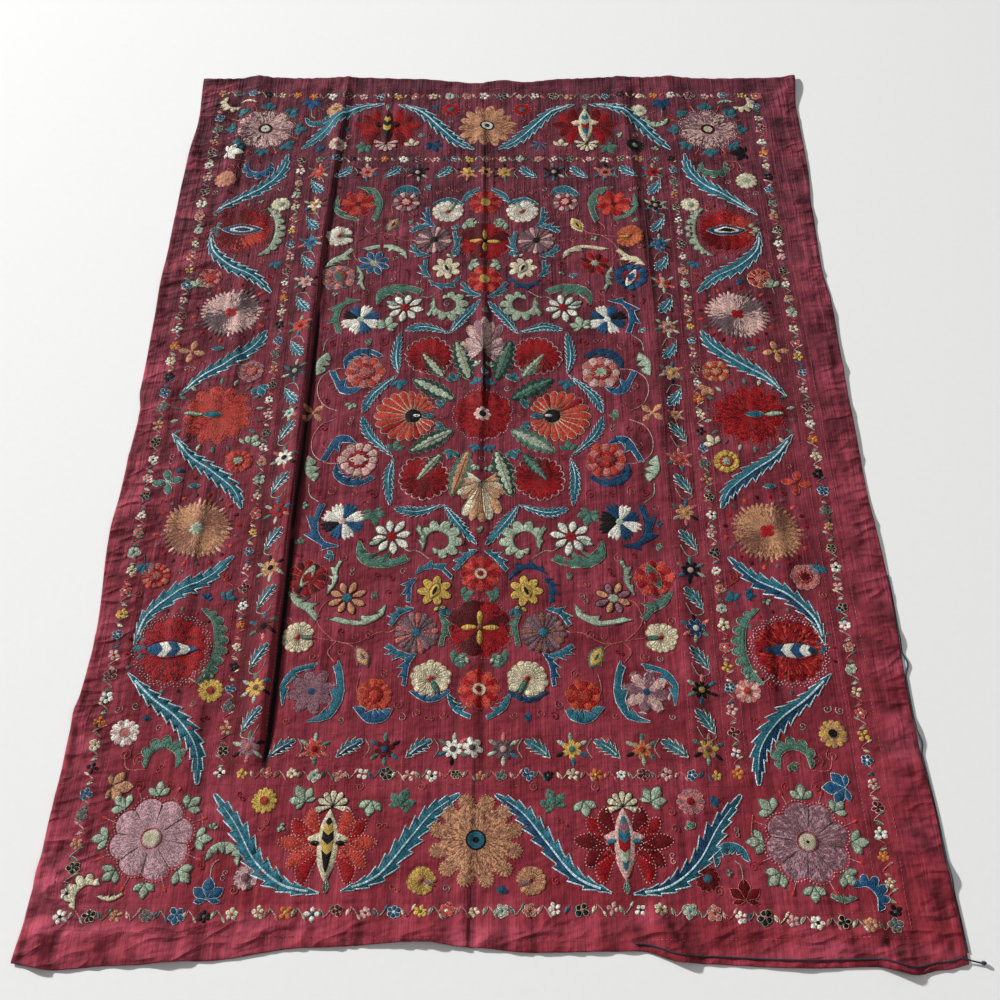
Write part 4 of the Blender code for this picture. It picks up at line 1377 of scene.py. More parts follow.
def dashes(kit, start, end, bow):
    """A row of running stitches."""
    reach, step, side = run_between(start, end)
    for place in np.arange(0.0, reach - DASH_LENGTH, DASH_LENGTH + DASH_GAP):
        share = place / reach
        sway = side * (bow * 4.0 * share * (1.0 - share) + 0.0012 * math.sin(place * 31.0))
        first = start + step * place + sway
        half = first + step * DASH_LENGTH * 0.5
        kit.line([first, half, first + step * DASH_LENGTH], "rose", 0.0012, 0.0007)


def narrow_band(kit, start, end, pitch, size, first):
    """Tiny flowers in a row, joined by curled stalks and leaves."""
    reach, step, side = run_between(start, end)
    heading = math.degrees(math.atan2(step[1], step[0]))
    count = round(reach / pitch)
    for k in range(count + 1):
        aside = kit.chance.uniform(-0.003, 0.003)
        ahead = kit.chance.uniform(-0.004, 0.004)
        x, y = start + step * (reach * k / count + ahead) + side * aside
        dyes = BAND_DYES[(first + k) % len(BAND_DYES)]
        loose_floret(kit, x, y, size * kit.chance.uniform(0.82, 1.12), dyes)
        if k == count:
            break
        hand = kit.chance.choice((-1.0, 1.0))
        dye = BAND_LEAVES[(first + k) % len(BAND_LEAVES)]
        a, b, c = (start + step * (reach * k / count + pitch * share) + side * hand * size * out
                   for share, out in ((0.3, -0.5), (0.5, 0.65), (0.72, -0.25)))
        kit.stem([tuple(a), tuple((a + b) / 2 + step * 0.003), tuple(b), tuple(c)],
                 kit.chance.choice(("pink", "sage", "rose", dye)), 0.0023)
        kit.petal(*a, heading + hand * 70, 0.0, size * 1.05, size * 0.46, dye, None, 0.8, 4)
        kit.petal(*c, heading - hand * 60, -size * 0.2, size * 0.9, size * 0.42, dye, None, 0.8, 4)


class Socket:
    """A node's output, which takes part in sums like a number."""

    def __init__(self, shader, link):
        self.shader = shader
        self.link = link

    def math(self, operation, first, second=0.0):
        """One sum of numbers or outputs."""
        return self.shader.node("ShaderNodeMath", {"operation": operation}, {0: first, 1: second})

    def __add__(self, other):
        return self.math("ADD", self, other)

    def __mul__(self, other):
        return self.math("MULTIPLY", self, other)

    def __sub__(self, other):
        return self.math("SUBTRACT", self, other)

    def __rsub__(self, other):
        return self.math("SUBTRACT", other, self)

    __radd__ = __add__
    __rmul__ = __mul__

    def sine(self):
        return self.math("SINE", self)

    def size(self):
        return self.math("ABSOLUTE", self)

    def held(self, low=0.0, high=1.0):
        """Kept between two numbers."""
        return self.math("MINIMUM", self.math("MAXIMUM", self, low), high)

    def rise(self, start, end):
        """From 0 to 1 between two values."""
        return ((self - start) * (1.0 / (end - start))).held()


class Shader:
    """A material of one Principled surface and the nodes that feed it."""

    def __init__(self, name):
        self.material = bpy.data.materials.new(name)
        self.material.use_nodes = True
        self.tree = self.material.node_tree
        self.surface = self.tree.nodes["Principled BSDF"]

    def node(self, kind, settings=None, values=None, output=0):
        """Adds a node, with its settings first and then its sockets' values or links."""
        node = self.tree.nodes.new(kind)
        for key, value in (settings or {}).items():
            setattr(node, key, value)
        for key, value in (values or {}).items():
            self.feed(node.inputs[key], value)
        return Socket(self, node.outputs[output])

    def feed(self, socket, value):
        """Links an output to a socket, or sets its number."""
        if isinstance(value, Socket):
            self.tree.links.new(value.link, socket)
        else:
            socket.default_value = value

    def finish(self, values):
        """Feeds the surface's own sockets and gives the material."""
        for name, value in values.items():
            self.feed(self.surface.inputs[name], value)
        return self.material

    def split(self, vector):
        """The three numbers of a vector."""
        node = self.tree.nodes.new("ShaderNodeSeparateXYZ")
        self.feed(node.inputs[0], vector)
        return [Socket(self, output) for output in node.outputs]

    def place(self):
        """A point's place on the piece, in metres."""
        return self.node("ShaderNodeTexCoord", output="Object")

    def attribute(self, name, output):
        settings = {"attribute_name": name, "attribute_type": "GEOMETRY"}
        return self.node("ShaderNodeAttribute", settings, output=output)

    def joined(self, x, y, z=0.0):
        return self.node("ShaderNodeCombineXYZ", None, {0: x, 1: y, 2: z})

    def noise(self, vector, scale=1.0, detail=2.0, roughness=0.5):
        values = {"Vector": vector, "Scale": scale, "Detail": detail, "Roughness": roughness}
        return self.node("ShaderNodeTexNoise", None, values, "Fac")

    def mixed(self, factor, first, second):
        values = {0: factor, 6: first, 7: second}
        return self.node("ShaderNodeMix", {"data_type": "RGBA"}, values, 2)

    def scaled(self, colour, factor):
        values = {"Vector": colour, "Scale": factor}
        return self.node("ShaderNodeVectorMath", {"operation": "SCALE"}, values)

    def bump(self, height, distance, strength=1.0):
        values = {"Height": height, "Distance": distance, "Strength": strength}
        return self.node("ShaderNodeBump", None, values)


# Threads of the weave, plies of the braid, and stitches in each metre across and along their rows
WARP_PITCH = 0.0011
WEFT_PITCH = 0.0012
PLY_PITCH = 0.0034
STITCH_ROWS = 420.0
STITCHES = 250.0


def silk_material(context):
    """Silk in rows of chain stitches: uneven dye, grain of the loops, a little wear, and painted
    shade between the loops and in the cloth's creases.
    """
    shader = Shader(SILK)
    across, along, tone = shader.split(shader.attribute("lie", "Vector"))
    dye = shader.attribute("dye", "Color")
    crease = shader.attribute("hollow", "Fac")
    rows = shader.joined(across * STITCH_ROWS, along * STITCHES, tone * 90.0)
    loops = {"Vector": rows, "Scale": 1.0, "Randomness": 0.85}
    gap = shader.node("ShaderNodeTexVoronoi", None, loops, "Distance")
    each = shader.split(shader.node("ShaderNodeTexVoronoi", None, loops, "Color"))[0]
    streak = shader.noise(shader.joined(across * 900.0, along * 60.0, tone * 40.0), 1.0, 2.0)
    blotch = shader.noise(shader.place(), 60.0, 3.0, 0.6)
    worn = shader.noise(shader.place(), 260.0, 3.0, 0.7)
    light = (0.36 + each * 0.56 + streak * 0.46) * (0.62 + blotch * 0.72) * (0.88 + tone * 0.2)
    # Painted shade: darker in the gaps between the stitch loops and where the silk lies in a crease.
    light = light * (1.1 - gap.rise(0.3, 0.8) * 0.72) * (1.0 - crease.held() * 0.88)
    colours = context.scene.bedspread_colours
    colour = shader.mixed(worn.rise(0.6, 0.72) * 0.5, shader.scaled(dye, light * 1.1),
                          (*colours.ground_dark, 1.0))
    normal = shader.bump(streak * 0.4 - gap * 1.1, 0.0011, 0.85)
    return shader.finish({"Base Color": colour, "Roughness": 0.52 + streak * 0.2, "Normal": normal,
                          "Specular IOR Level": 0.12, "Sheen Weight": 0.0})


def ground_material(context):
    """Crimson cotton with fine lengthwise ribs, faded towards its foot and at the foot-left margin,
    with painted light and shade in bands along its margins, painted shade in its folds, creases and
    pucker hollows, and painted highlight on its ridge tops.
    """
    colours = context.scene.bedspread_colours
    shader = Shader("crimson ground")
    place = shader.place()
    x, y, _ = shader.split(place)
    hollow = shader.attribute("hollow", "Fac")
    slub = shader.noise(shader.joined(x * 320.0, y * 12.0), 1.0, 3.0, 0.6)
    rib = shader.noise(shader.joined(x * 230.0, y * 4.2), 1.0, 3.0, 0.6)
    pucker = shader.noise(shader.joined(x * 58.0, y * 34.0), 1.0, 3.0, 0.55)
    crumple = shader.noise(shader.joined(x * 9.0, y * 13.0), 1.0, 3.0, 0.48)
    mottle = shader.noise(place, 6.0, 4.0, 0.6)
    grain = shader.noise(place, 420.0, 2.0, 0.6)
    band = shader.noise(shader.joined(x * 3.0, y * 13.0), 1.0, 2.0)
    margin = ((x - 0.005).size().rise(0.73, 0.8) + (y * -1.0).rise(1.12, 1.17)).held()
    head = (y + 0.9 + mottle * 0.6).rise(0.0, 2.1)
    ribbed = 0.16 + head * 0.84
    colour = shader.mixed(head, (*colours.ground_foot, 1.0), (*colours.ground_head, 1.0))
    # Paler ground: mottle, slubs and the foot-left margin in the cloth's own colour, plus painted
    # highlight in bands along the margins and on ridge tops.
    fade = mottle.rise(0.45, 0.7) * 0.4 + margin * band.rise(0.48, 0.62) * 0.5
    fade = fade + (0.5 - slub).rise(0.02, 0.13) * 0.2 + (hollow * -1.0).rise(0.05, 0.25) * 0.35
    corner = margin * (0.2 - x).rise(0.0, 0.8) * (y * -1.0).rise(0.4, 1.0)
    fade = fade + corner * 0.42
    colour = shader.mixed(fade.held(), colour, (*colours.ground_pale, 1.0))
    # Darker ground: slubs, ribs, grain and mottle in the cloth's own colour, plus painted shade in
    # the pucker hollows and in bands along the margins.
    dark = slub.rise(0.47, 0.62) * (0.16 + ribbed * 0.18) + ribbed * rib.rise(0.44, 0.6) * 0.54
    dark = dark + grain.rise(0.5, 0.8) * 0.2 + (0.5 - pucker).rise(0.0, 0.16) * 0.12
    dark = dark + (0.5 - mottle).rise(0.02, 0.18) * 0.15
    dark = dark + margin * (0.5 - band).rise(0.02, 0.16) * 0.06
    colour = shader.mixed(dark.held(0.0, 0.9), colour, (*colours.ground_dark, 1.0))
    # Painted fold shadow: near-black in the valleys and sharp creases.
    slit = (hollow.rise(0.05, 0.6) * 0.86 + hollow.rise(0.6, 0.85) * 0.3).held()
    colour = shader.mixed(slit, colour, (0.004, 0.002, 0.002, 1.0))
    weave = (x * (2.0 * math.pi / WARP_PITCH)).sine() + (y * (2.0 * math.pi / WEFT_PITCH)).sine()
    ridge = shader.noise(shader.joined(x * 8.0 + y * 5.0, y * 24.0 - x * 7.0), 1.0, 1.5, 0.4)
    ridge = (1.0 - ((ridge - 0.5) * 9.0).size()).held() * (0.12 + margin * 0.88)
    height = weave * 0.05 + slub * 0.8 + rib * ribbed * 1.7 + pucker * 2.4
    height = height + crumple * (24.0 + margin * 20.0) + ridge * 3.4
    normal = shader.bump(height, 0.0011, 0.9)
    return shader.finish({"Base Color": colour, "Roughness": 0.74 + slub * 0.2, "Normal": normal,
                          "Specular IOR Level": 0.16, "Sheen Weight": 0.02})


def braid_material(context):
    """Blue-green braid, its plies showing as slanted turns."""
    shader = Shader("edging braid")
    place = shader.place()
    x, y, _ = shader.split(place)
    ply = ((x + y) * (2.0 * math.pi / PLY_PITCH)).sine()
    fuzz = shader.noise(place, 700.0, 2.0)
    base = (*context.scene.bedspread_colours.braid, 1.0)
    pale = (*context.scene.bedspread_colours.braid_worn, 1.0)
    colour = shader.mixed((ply * 0.25 + fuzz * 0.7).held(), base, pale)
    normal = shader.bump(ply + fuzz, 0.0005)
    return shader.finish({"Base Color": colour, "Roughness": 0.7 + fuzz * 0.2, "Normal": normal})


def floor_material():
    """Plain pale studio floor."""
    shader = Shader("pale floor")
    speckle = shader.noise(shader.place(), 60.0, 2.0)
    colour = shader.mixed(speckle, (0.8, 0.8, 0.79, 1.0), (0.83, 0.83, 0.82, 1.0))
    return shader.finish({"Base Color": colour, "Roughness": 0.85 + speckle * 0.05})


def colour_property(name, description, tint):
    """A colour in the panel, from its bytes of red, green and blue."""
    return bpy.props.FloatVectorProperty(
        name=name, description=description, subtype="COLOR", size=3, min=0.0, max=1.0,
        default=tuple(linear(byte) for byte in tint),
    )


class BEDSPREAD_PG_threads(bpy.types.PropertyGroup):
    """Colours of the dyed threads."""

    __annotations__ = {
        name: colour_property(name.title(), f"Colour of the {name} thread", tint)
        for name, tint in THREADS
    }


class BEDSPREAD_PG_colours(bpy.types.PropertyGroup):
    """Colours of the ground cloth and the braid."""

    ground_foot: colour_property("Ground at foot", "Crimson ground near the foot", (138, 40, 51))
    ground_head: colour_property("Ground at head", "Crimson ground near the head", (98, 42, 56))
    # Also the painted highlight on ridge tops and in bands along the margins.
    ground_pale: colour_property("Faded ground", "Ground where it is rubbed", (176, 74, 92))
    # Also the painted shade in pucker hollows and in bands along the margins.
    ground_dark: colour_property("Dark ground", "Ground in its slubs and folds", (34, 8, 16))
    braid: colour_property("Braid", "Edging braid", (16, 40, 48))
    braid_worn: colour_property("Worn braid", "Edging braid on its high turns", (52, 84, 92))


def length_property(name, description, default, least):
    """A length in the panel, in metres."""
    return bpy.props.FloatProperty(
        name=name, description=description, default=default, min=least, unit="LENGTH",
    )


class BEDSPREAD_PG_sizes(bpy.types.PropertyGroup):
    """Sizes of the cloth's mesh and its hem."""

    pitch_across: length_property("Mesh pitch across", "Width of a mesh cell", 0.0076, 0.003)
    pitch_along: length_property("Mesh pitch along", "Length of a mesh cell", 0.0137, 0.003)
    thickness: length_property("Cloth thickness", "Ground cloth", CLOTH_THICKNESS, 0.0005)
    hem: length_property("Hem width", "Width of the rolled hem", HEM_WIDTH, 0.004)


def hem_lines(first, last, pitch, hem):
    """Places of the mesh lines between two edges, closer together on the hems."""
    rolled = np.array(HEM_STEPS) * hem
    start, end = first + rolled, last - rolled[::-1]
    count = round((end[0] - start[-1]) / pitch)
    return np.concatenate([start, np.linspace(start[-1], end[0], count + 1)[1:-1], end])


def hem_height(x, y, hem):
    """Roll of the hem above the cloth's face, drawn in a little at its stitches."""
    inset = np.minimum.reduce([x - LEFT_LINE, RIGHT_LINE - x, y - FOOT_LINE, HEAD_LINE - y])
    share = inset / hem
    roll = smooth(share / 0.35 + 0.25) * smooth((1.1 - share) / 0.3)
    stitch = 0.85 + 0.15 * np.sin(2.0 * np.pi * (x + y) / HEM_PITCH)
    return HEM_PROUD * roll * stitch


def blurred(height, reach):
    """Height of the cloth averaged over a few mesh cells around each."""
    for axis in (0, 1):
        total = np.zeros_like(height)
        for step in range(-reach[axis], reach[axis] + 1):
            total += np.take(height, np.clip(np.arange(height.shape[axis]) + step, 0,
                                             height.shape[axis] - 1), axis=axis)
        height = total / (2 * reach[axis] + 1)
    return height


class BEDSPREAD_OT_stage(bpy.types.Operator):
    """Set the floor, the lights and the camera"""

    bl_idname = "bedspread.stage"
    bl_label = "Set the stage"

    def execute(self, context):
        scene = context.scene
        bpy.ops.mesh.primitive_plane_add(size=FLOOR_SIZE, location=FLOOR_PLACE)
        floor = context.object
        floor.name = "floor"
        floor.data.materials.append(floor_material())
        for name, place, size, power in STAGE_LIGHTS:
            lamp = bpy.data.lights.new(name, "AREA")
            lamp.shape = "DISK"
            lamp.size = size
            lamp.energy = power
            light = bpy.data.objects.new(name, lamp)
            light.location = place
            light.rotation_euler = (-Vector(place)).to_track_quat("-Z", "Y").to_euler()
            scene.collection.objects.link(light)
        scene.view_settings.view_transform = "Standard"
        world = bpy.data.worlds.new("studio")
        scene.world = world
        world.use_nodes = True
        backdrop = world.node_tree.nodes["Background"].inputs
        backdrop["Color"].default_value = (1.0, 1.0, 1.0, 1.0)
        backdrop["Strength"].default_value = WORLD_STRENGTH
        lens = bpy.data.cameras.new("camera")
        lens.lens = CAMERA_LENS
        camera = bpy.data.objects.new("camera", lens)
        tilt = Matrix.Rotation(math.radians(90.0 - CAMERA_DOWN), 4, "X")
        turn = Matrix.Rotation(math.radians(CAMERA_TURN), 4, "Z")
        roll = Matrix.Rotation(math.radians(CAMERA_ROLL), 4, "Z")
        camera.matrix_world = Matrix.Translation(CAMERA_PLACE) @ turn @ tilt @ roll
        scene.collection.objects.link(camera)
        scene.camera = camera
        return {"FINISHED"}


class BEDSPREAD_OT_cloth(bpy.types.Operator):
    """Lay the crimson cloth with its folds, puckers and rolled hem"""

    bl_idname = "bedspread.cloth"
    bl_label = "Lay the cloth"

    def execute(self, context):
        sizes = context.scene.bedspread_sizes
        across = hem_lines(LEFT_LINE, RIGHT_LINE, sizes.pitch_across, sizes.hem)
        close = [np.arange(line - CREASE_REACH, line + CREASE_REACH + 0.001, CREASE_PITCH)
                 for line in CREASE_LINES]
        across = np.sort(np.concatenate([across, *close]))
        across = across[np.concatenate([[True], np.diff(across) > LEAST_PITCH])]
        along = hem_lines(FOOT_LINE, HEAD_LINE, sizes.pitch_along, sizes.hem)
        flat_x, flat_y = np.meshgrid(across, along)
        x, y = outline(flat_x, flat_y)
        crease = crease_depth(x, y)
        rise = cloth_height(x, y) + ripple_height(x, y) * PUCKERING
        for row in margin_wrinkles():
            rise += fold_height(row, x, y)
        face = sizes.thickness + np.maximum(rise - CREASE_DEPTH * crease, 0.0)
        # Fold shading for the ground's finish: valleys and creases are painted dark as shade, ridge
        # tops paler as highlight.
        valley = np.clip((blurred(face, VALLEY_CELLS) - face) / VALLEY_DEPTH, *VALLEY_RANGE)
        hollow = np.maximum(valley, crease)
        face = face + hem_height(flat_x, flat_y, sizes.hem)
        points = np.stack([x + DESIGN_X, y + DESIGN_Y, face], axis=-1).reshape(-1, 3)
        rows, columns = x.shape
        index = np.arange(rows * columns).reshape(rows, columns)
        corners = (index[:-1, :-1], index[:-1, 1:], index[1:, 1:], index[1:, :-1])
        quads = np.stack(corners, axis=-1).reshape(-1, 4)
        mesh = bpy.data.meshes.new(CLOTH_PIECE)
        mesh.from_pydata(points.tolist(), [], quads.tolist())
        mesh.attributes.new("hollow", "FLOAT", "POINT").data.foreach_set("value", hollow.ravel())
        cloth = new_piece(context, CLOTH_PIECE, mesh, ground_material(context))
        body = cloth.modifiers.new("body", "SOLIDIFY")
        body.thickness = sizes.thickness
        body.offset = -1.0
        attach(cloth, BODY)
        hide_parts("bedspread_cloth")
        return {"FINISHED"}


class BEDSPREAD_OT_medallion(bpy.types.Operator):
    """Sew the star medallion in the middle"""

    bl_idname = "bedspread.medallion"
    bl_label = "Sew the medallion"

    def execute(self, context):
        kit = Embroidery("medallion_embroidery", 11)
        in_each_quarter(kit, self.quarter)
        rim = kit.blossom(0.0, 0.0, 0.07, "crimson wine crimson crimson wine crimson crimson",
                          lobes=14, depth=0.1, turn=12, lift=0.0015, groove=0.5, mingle=3.0)
        kit.dots(rim * 1.05, 0.0074, "pink")
        kit.blossom(0.0, 0.0, 0.023, "pink", lobes=8, depth=0.2, lift=0.0024,
                    eye=((0.36, "black"),))
        for side in SIDES:
            self.petalled(kit, side)
        for end, light, dark in ((1.0, "pink", "mauve"), (-1.0, "tan", "cream")):
            self.fan(kit, end, light, dark)
        kit.make(context)
        return {"FINISHED"}

    @staticmethod
    def quarter(kit):
        """One quarter's toothed leaves, scalloped flower and small leaves."""
        for spine in MEDALLION_LEAVES:
            kit.saw_leaf(spine, 0.029, 10, "teal teal", "ice", "ice", 0.5, 0.0022)
        place_motifs(kit, MEDALLION_MOTIFS)

    @staticmethod
    def petalled(kit, side):
        """The flower at each side of the heart, its petals drawn to an eye near the heart."""
        middle, eye, reach = side * 0.183, side * 0.164, 0.073
        for k in range(19):
            angle = (0 if side > 0 else 180) - 152 + 304 * k / 18
            turned = math.radians(angle)
            gap = middle - eye
            ahead = gap * math.cos(turned)
            length = ahead + math.sqrt(reach**2 - gap**2 + ahead**2)
            fill = ("coral", "coral", "coral", "crimson")[k % 4 if k > 9 else k % 3]
            kit.petal(eye, -0.003, angle, 0.019, length, 0.27 * length, fill, "cream", 0, 9)
        kit.blossom(eye, -0.003, 0.02, "black", lobes=12, depth=0.03, lift=0.0022)
        kit.almond(eye - side * 0.008, -0.003, 0.02, 0.011, 0, "white", lift=0.003)
        kit.almond(eye - side * 0.036, -0.003, 0.032, 0.014, 0, "teal", "sage", lift=0.0018)

    @staticmethod
    def fan(kit, end, light, dark):
        """The leafy fan above or below the heart, in three lobed parts."""
        y = end * 0.192
        for middle, spread, count, reach in ((-72, 44, 6, 0.062), (72, 44, 6, 0.062),
                                             (0, 25, 5, 0.108)):
            for k in range(count):
                share = 2.0 * k / (count - 1) - 1.0
                angle = middle + spread * share + kit.chance.uniform(-2.0, 2.0)
                length = reach * (1.0 - 0.13 * share**2) * kit.chance.uniform(0.96, 1.04)
                kit.petal(0.0, y, 90 * end + angle, 0.003, length, 0.024,
                          light if k % 3 else dark, "grey" if k % 2 else "sage", 0, 9)


class BEDSPREAD_OT_field(bpy.types.Operator):
    """Sew the flowers and curling leaves of the field"""

    bl_idname = "bedspread.field"
    bl_label = "Sew the field"

    def execute(self, context):
        kit = Embroidery("field_embroidery", 23)
        in_each_quarter(kit, sew_tables, FIELD_STEMS, FIELD_CURLS, FIELD_MOTIFS, FIELD_COILS)
        for y, dyes in ((0.709, "coral crimson/rose/yellow"), (0.43, "coral crimson/rose/yellow"),
                        (-0.43, "crimson coral/rose/cream"), (-0.7, "coral crimson/rose/cream")):
            rosette(kit, 0.0, y, 0.044, 0, dyes)
            if y < 0:
                kit.blossom(0.0, y, 0.009, "crimson", lobes=8, depth=0.05, lift=0.0023)
        for y, heart in ((0.565, "black"), (-0.56, "brown")):
            names = "darkred crimson darkred darkred crimson darkred crimson crimson"
            rim = kit.blossom(0.0, y, 0.068, names, lobes=8, depth=0.1, turn=22, lift=0.0013)
            kit.dots(grown(rim, 0.0, y, 1.06), 0.0078, "rose", 0.0016)
            for angle in (0, 90, 180, 270):
                kit.petal(0.0, y, angle, 0.004, 0.04, 0.015, "yellow", None, 0.5, lift=0.0024)
            kit.blossom(0.0, y, 0.006, heart, lobes=6, depth=0.05, lift=0.003)
        medallion = bpy.data.objects["medallion_embroidery"].data.vertices
        medallion = np.array([vert.co.xy for vert in medallion]) - (DESIGN_X, DESIGN_Y)
        fill_with_curls(kit, [kit.places(), medallion], (-0.42, -0.79, 0.42, 0.79), 300,
                        "rose crimson rose pink crimson sage")
        kit.make(context)
        return {"FINISHED"}


class BEDSPREAD_OT_inner_border(bpy.types.Operator):
    """Sew the leaves and flowers of the inner border and the narrow band around it"""

    bl_idname = "bedspread.inner_border"
    bl_label = "Sew the inner border"

    def execute(self, context):
        kit = Embroidery("inner_border_embroidery", 37)
        in_each_quarter(kit, self.quarter)
        floret(kit, 0.0, 0.828, 0.02, "tan/rose/black")
        floret(kit, -0.012, -0.826, 0.022, "white/cream/grey")
        for start, end, pitch, first in INNER_BANDS:
            narrow_band(kit, start, end, pitch, INNER_FLORET, first)
        kit.make(context)
        return {"FINISHED"}

    @staticmethod
    def quarter(kit):
        """Leaves, stalks and flowers of half a side and half an end."""
        petals = for_quarter(kit, INNER_LEAF_DYES)
        for y in SIDE_LEAVES:
            leaf(kit, 0.456, y, 0.062, 236, petals)
            kit.stem([(0.438, y + 0.012), (0.452, y + 0.038), (0.474, y + 0.034),
                      (0.472, y + 0.012)], "sage", 0.0022)
            kit.petal(0.474, y + 0.03, 255, 0.0, 0.024, 0.01, "green", None)
        for y, *threads in SIDE_FLOWERS:
            backed_floret(kit, 0.455, y, 0.022 if y else 0.014, for_quarter(kit, threads))
        for x in END_LEAVES:
            leaf(kit, x, 0.828, 0.062, 135 if kit.flip[1] > 0 else 216, petals)
            kit.stem([(x - 0.03, 0.806), (x - 0.04, 0.826), (x - 0.03, 0.846)], "sage", 0.0018)
        for x, *threads in END_FLOWERS:
            backed_floret(kit, x, 0.828, 0.022, for_quarter(kit, threads))


class BEDSPREAD_OT_main_border(bpy.types.Operator):
    """Sew the great flowers and toothed leaves of the main border"""

    bl_idname = "bedspread.main_border"
    bl_label = "Sew the main border"

    def execute(self, context):
        leaves = Embroidery("border_leaf_embroidery", 41)
        in_each_quarter(leaves, self.leaves)
        kit = Embroidery("border_flower_embroidery", 43)
        in_each_quarter(kit, sew_tables, BORDER_STEMS, BORDER_CURLS, BORDER_MOTIFS, BORDER_COILS)
        for row in CORNER_ROSETTES:
            corner_rosette(kit, *row)
        for row in CORNER_KNOTS:
            kit.dot(*row, "black", 0.003)
        sides = Embroidery("side_flower_embroidery", 59)
        for piece, sew, rows in (
            (sides, rayed_rosette, RAYED_ROSETTES), (sides, red_rosette, RED_ROSETTES),
            (sides, almond_flower, ALMOND_FLOWERS), (kit, middle_rosette, MIDDLE_ROSETTES),
            (kit, border_pomegranate, POMEGRANATES),
        ):
            for row in rows:
                sew(piece, *row)
        for box in BORDER_BOXES:
            others = [kit.places(), sides.places(), leaves.places()]
            fill_with_curls(leaves, others, box, 110, "rose crimson pink rose coral sage")
        for piece in (leaves, kit, sides):
            piece.make(context)
        return {"FINISHED"}

    @staticmethod
    def leaves(kit):
        """The long toothed leaves of one quarter."""
        fill = "navy teal" if kit.flip == (1.0, -1.0) else "teal teal"
        for spine in BORDER_LEAVES:
            kit.saw_leaf(spine, 0.046, 11, fill, thin=0.0034)


class BEDSPREAD_OT_outer_band(bpy.types.Operator):
    """Sew the narrow band of tiny flowers inside the plain margin"""

    bl_idname = "bedspread.outer_band"
    bl_label = "Sew the outer band"

    def execute(self, context):
        kit = Embroidery("outer_band_embroidery", 53)
        for start, end, first in OUTER_BANDS:
            narrow_band(kit, start, end, 0.049, 0.014, first)
        for start, end, bow in STITCHED_LINES:
            dashes(kit, start, end, bow)
        kit.make(context)
        return {"FINISHED"}


# Runs of the outer band: both ends, and the number of its first flower in the thread list
OUTER_BANDS = (
    ((-0.76, -1.115), (-0.757, 1.1), 0), ((0.77, -1.14), (0.768, 1.098), 5),
    ((-0.762, 1.158), (-0.54, 1.146), 2), ((-0.495, 1.143), (0.775, 1.145), 7),
    ((-0.765, -1.151), (-0.45, -1.15), 0), ((-0.405, -1.147), (0.3, -1.137), 6),
    ((0.345, -1.14), (0.77, -1.168), 14),
)

# Stitched lines between the parts of the design: both ends and a sideways bow
STITCHED_LINES = (
    ((-0.784, -1.15), (-0.78, 1.17), 0.004), ((0.796, -1.172), (0.792, 1.166), -0.003),
    ((-0.784, 1.178), (0.792, 1.166), 0.003), ((-0.784, -1.176), (0.796, -1.186), -0.012),
    ((-0.734, -1.132), (-0.734, 1.121), 0.002), ((0.744, -1.138), (0.742, 1.121), 0.0),
    ((-0.734, 1.124), (0.742, 1.121), 0.0), ((-0.734, -1.136), (0.744, -1.142), -0.01),
    ((-0.527, -0.902), (-0.526, 0.898), 0.0), ((0.53, -0.902), (0.529, 0.898), 0.0),
    ((-0.527, 0.899), (0.529, 0.898), 0.0), ((-0.527, -0.902), (0.53, -0.902), 0.0),
    ((-0.487, -0.861), (-0.486, 0.858), 0.0), ((0.491, -0.861), (0.49, 0.858), 0.0),
    ((-0.487, 0.859), (0.49, 0.858), 0.0), ((-0.487, -0.861), (0.491, -0.862), 0.0),
    ((-0.424, -0.797), (-0.424, 0.794), 0.0), ((0.424, -0.797), (0.423, 0.794), 0.0),
    ((-0.424, 0.795), (0.423, 0.794), 0.0), ((-0.424, -0.797), (0.424, -0.797), 0.0),
)


# Edging braid: its thickness, where it runs and the small tabs that stand out from the side
BRAID_RADIUS = 0.0016
BRAID_CLEAR = 0.0009
BRAID_LIFT = 0.0014
SIDE_BRAID = (-1.205, -0.43)
SIDE_TABS = ((-0.64, 0.007, 0.03), (-0.812, 0.005, 0.026))
TAB_THICKENING = 50.0
FOOT_BRAID = (0.29, 0.863)
TAIL_LENGTH = 0.034
TAIL_DRIFT = 0.008
KNOT_RADIUS = 0.0045
KNOT_LENGTH = 0.01
BRAID_STEP = 0.0016
BRAID_PITCH = 0.0095
STRANDS = 3


def side_route():
    """Places and radius of the braid down the right-hand edge."""
    line = np.arange(SIDE_BRAID[0], SIDE_BRAID[1], BRAID_STEP)
    x, y = outline(np.full_like(line, RIGHT_LINE), line)
    reach = sum(out * smooth(1.0 - np.abs(line - place) / half) for place, out, half in SIDE_TABS)
    radius = BRAID_RADIUS * (1.0 + TAB_THICKENING * reach)
    height = cloth_height(x, y) + radius
    return np.stack([x + BRAID_CLEAR + radius + reach, y, height, radius], axis=1)


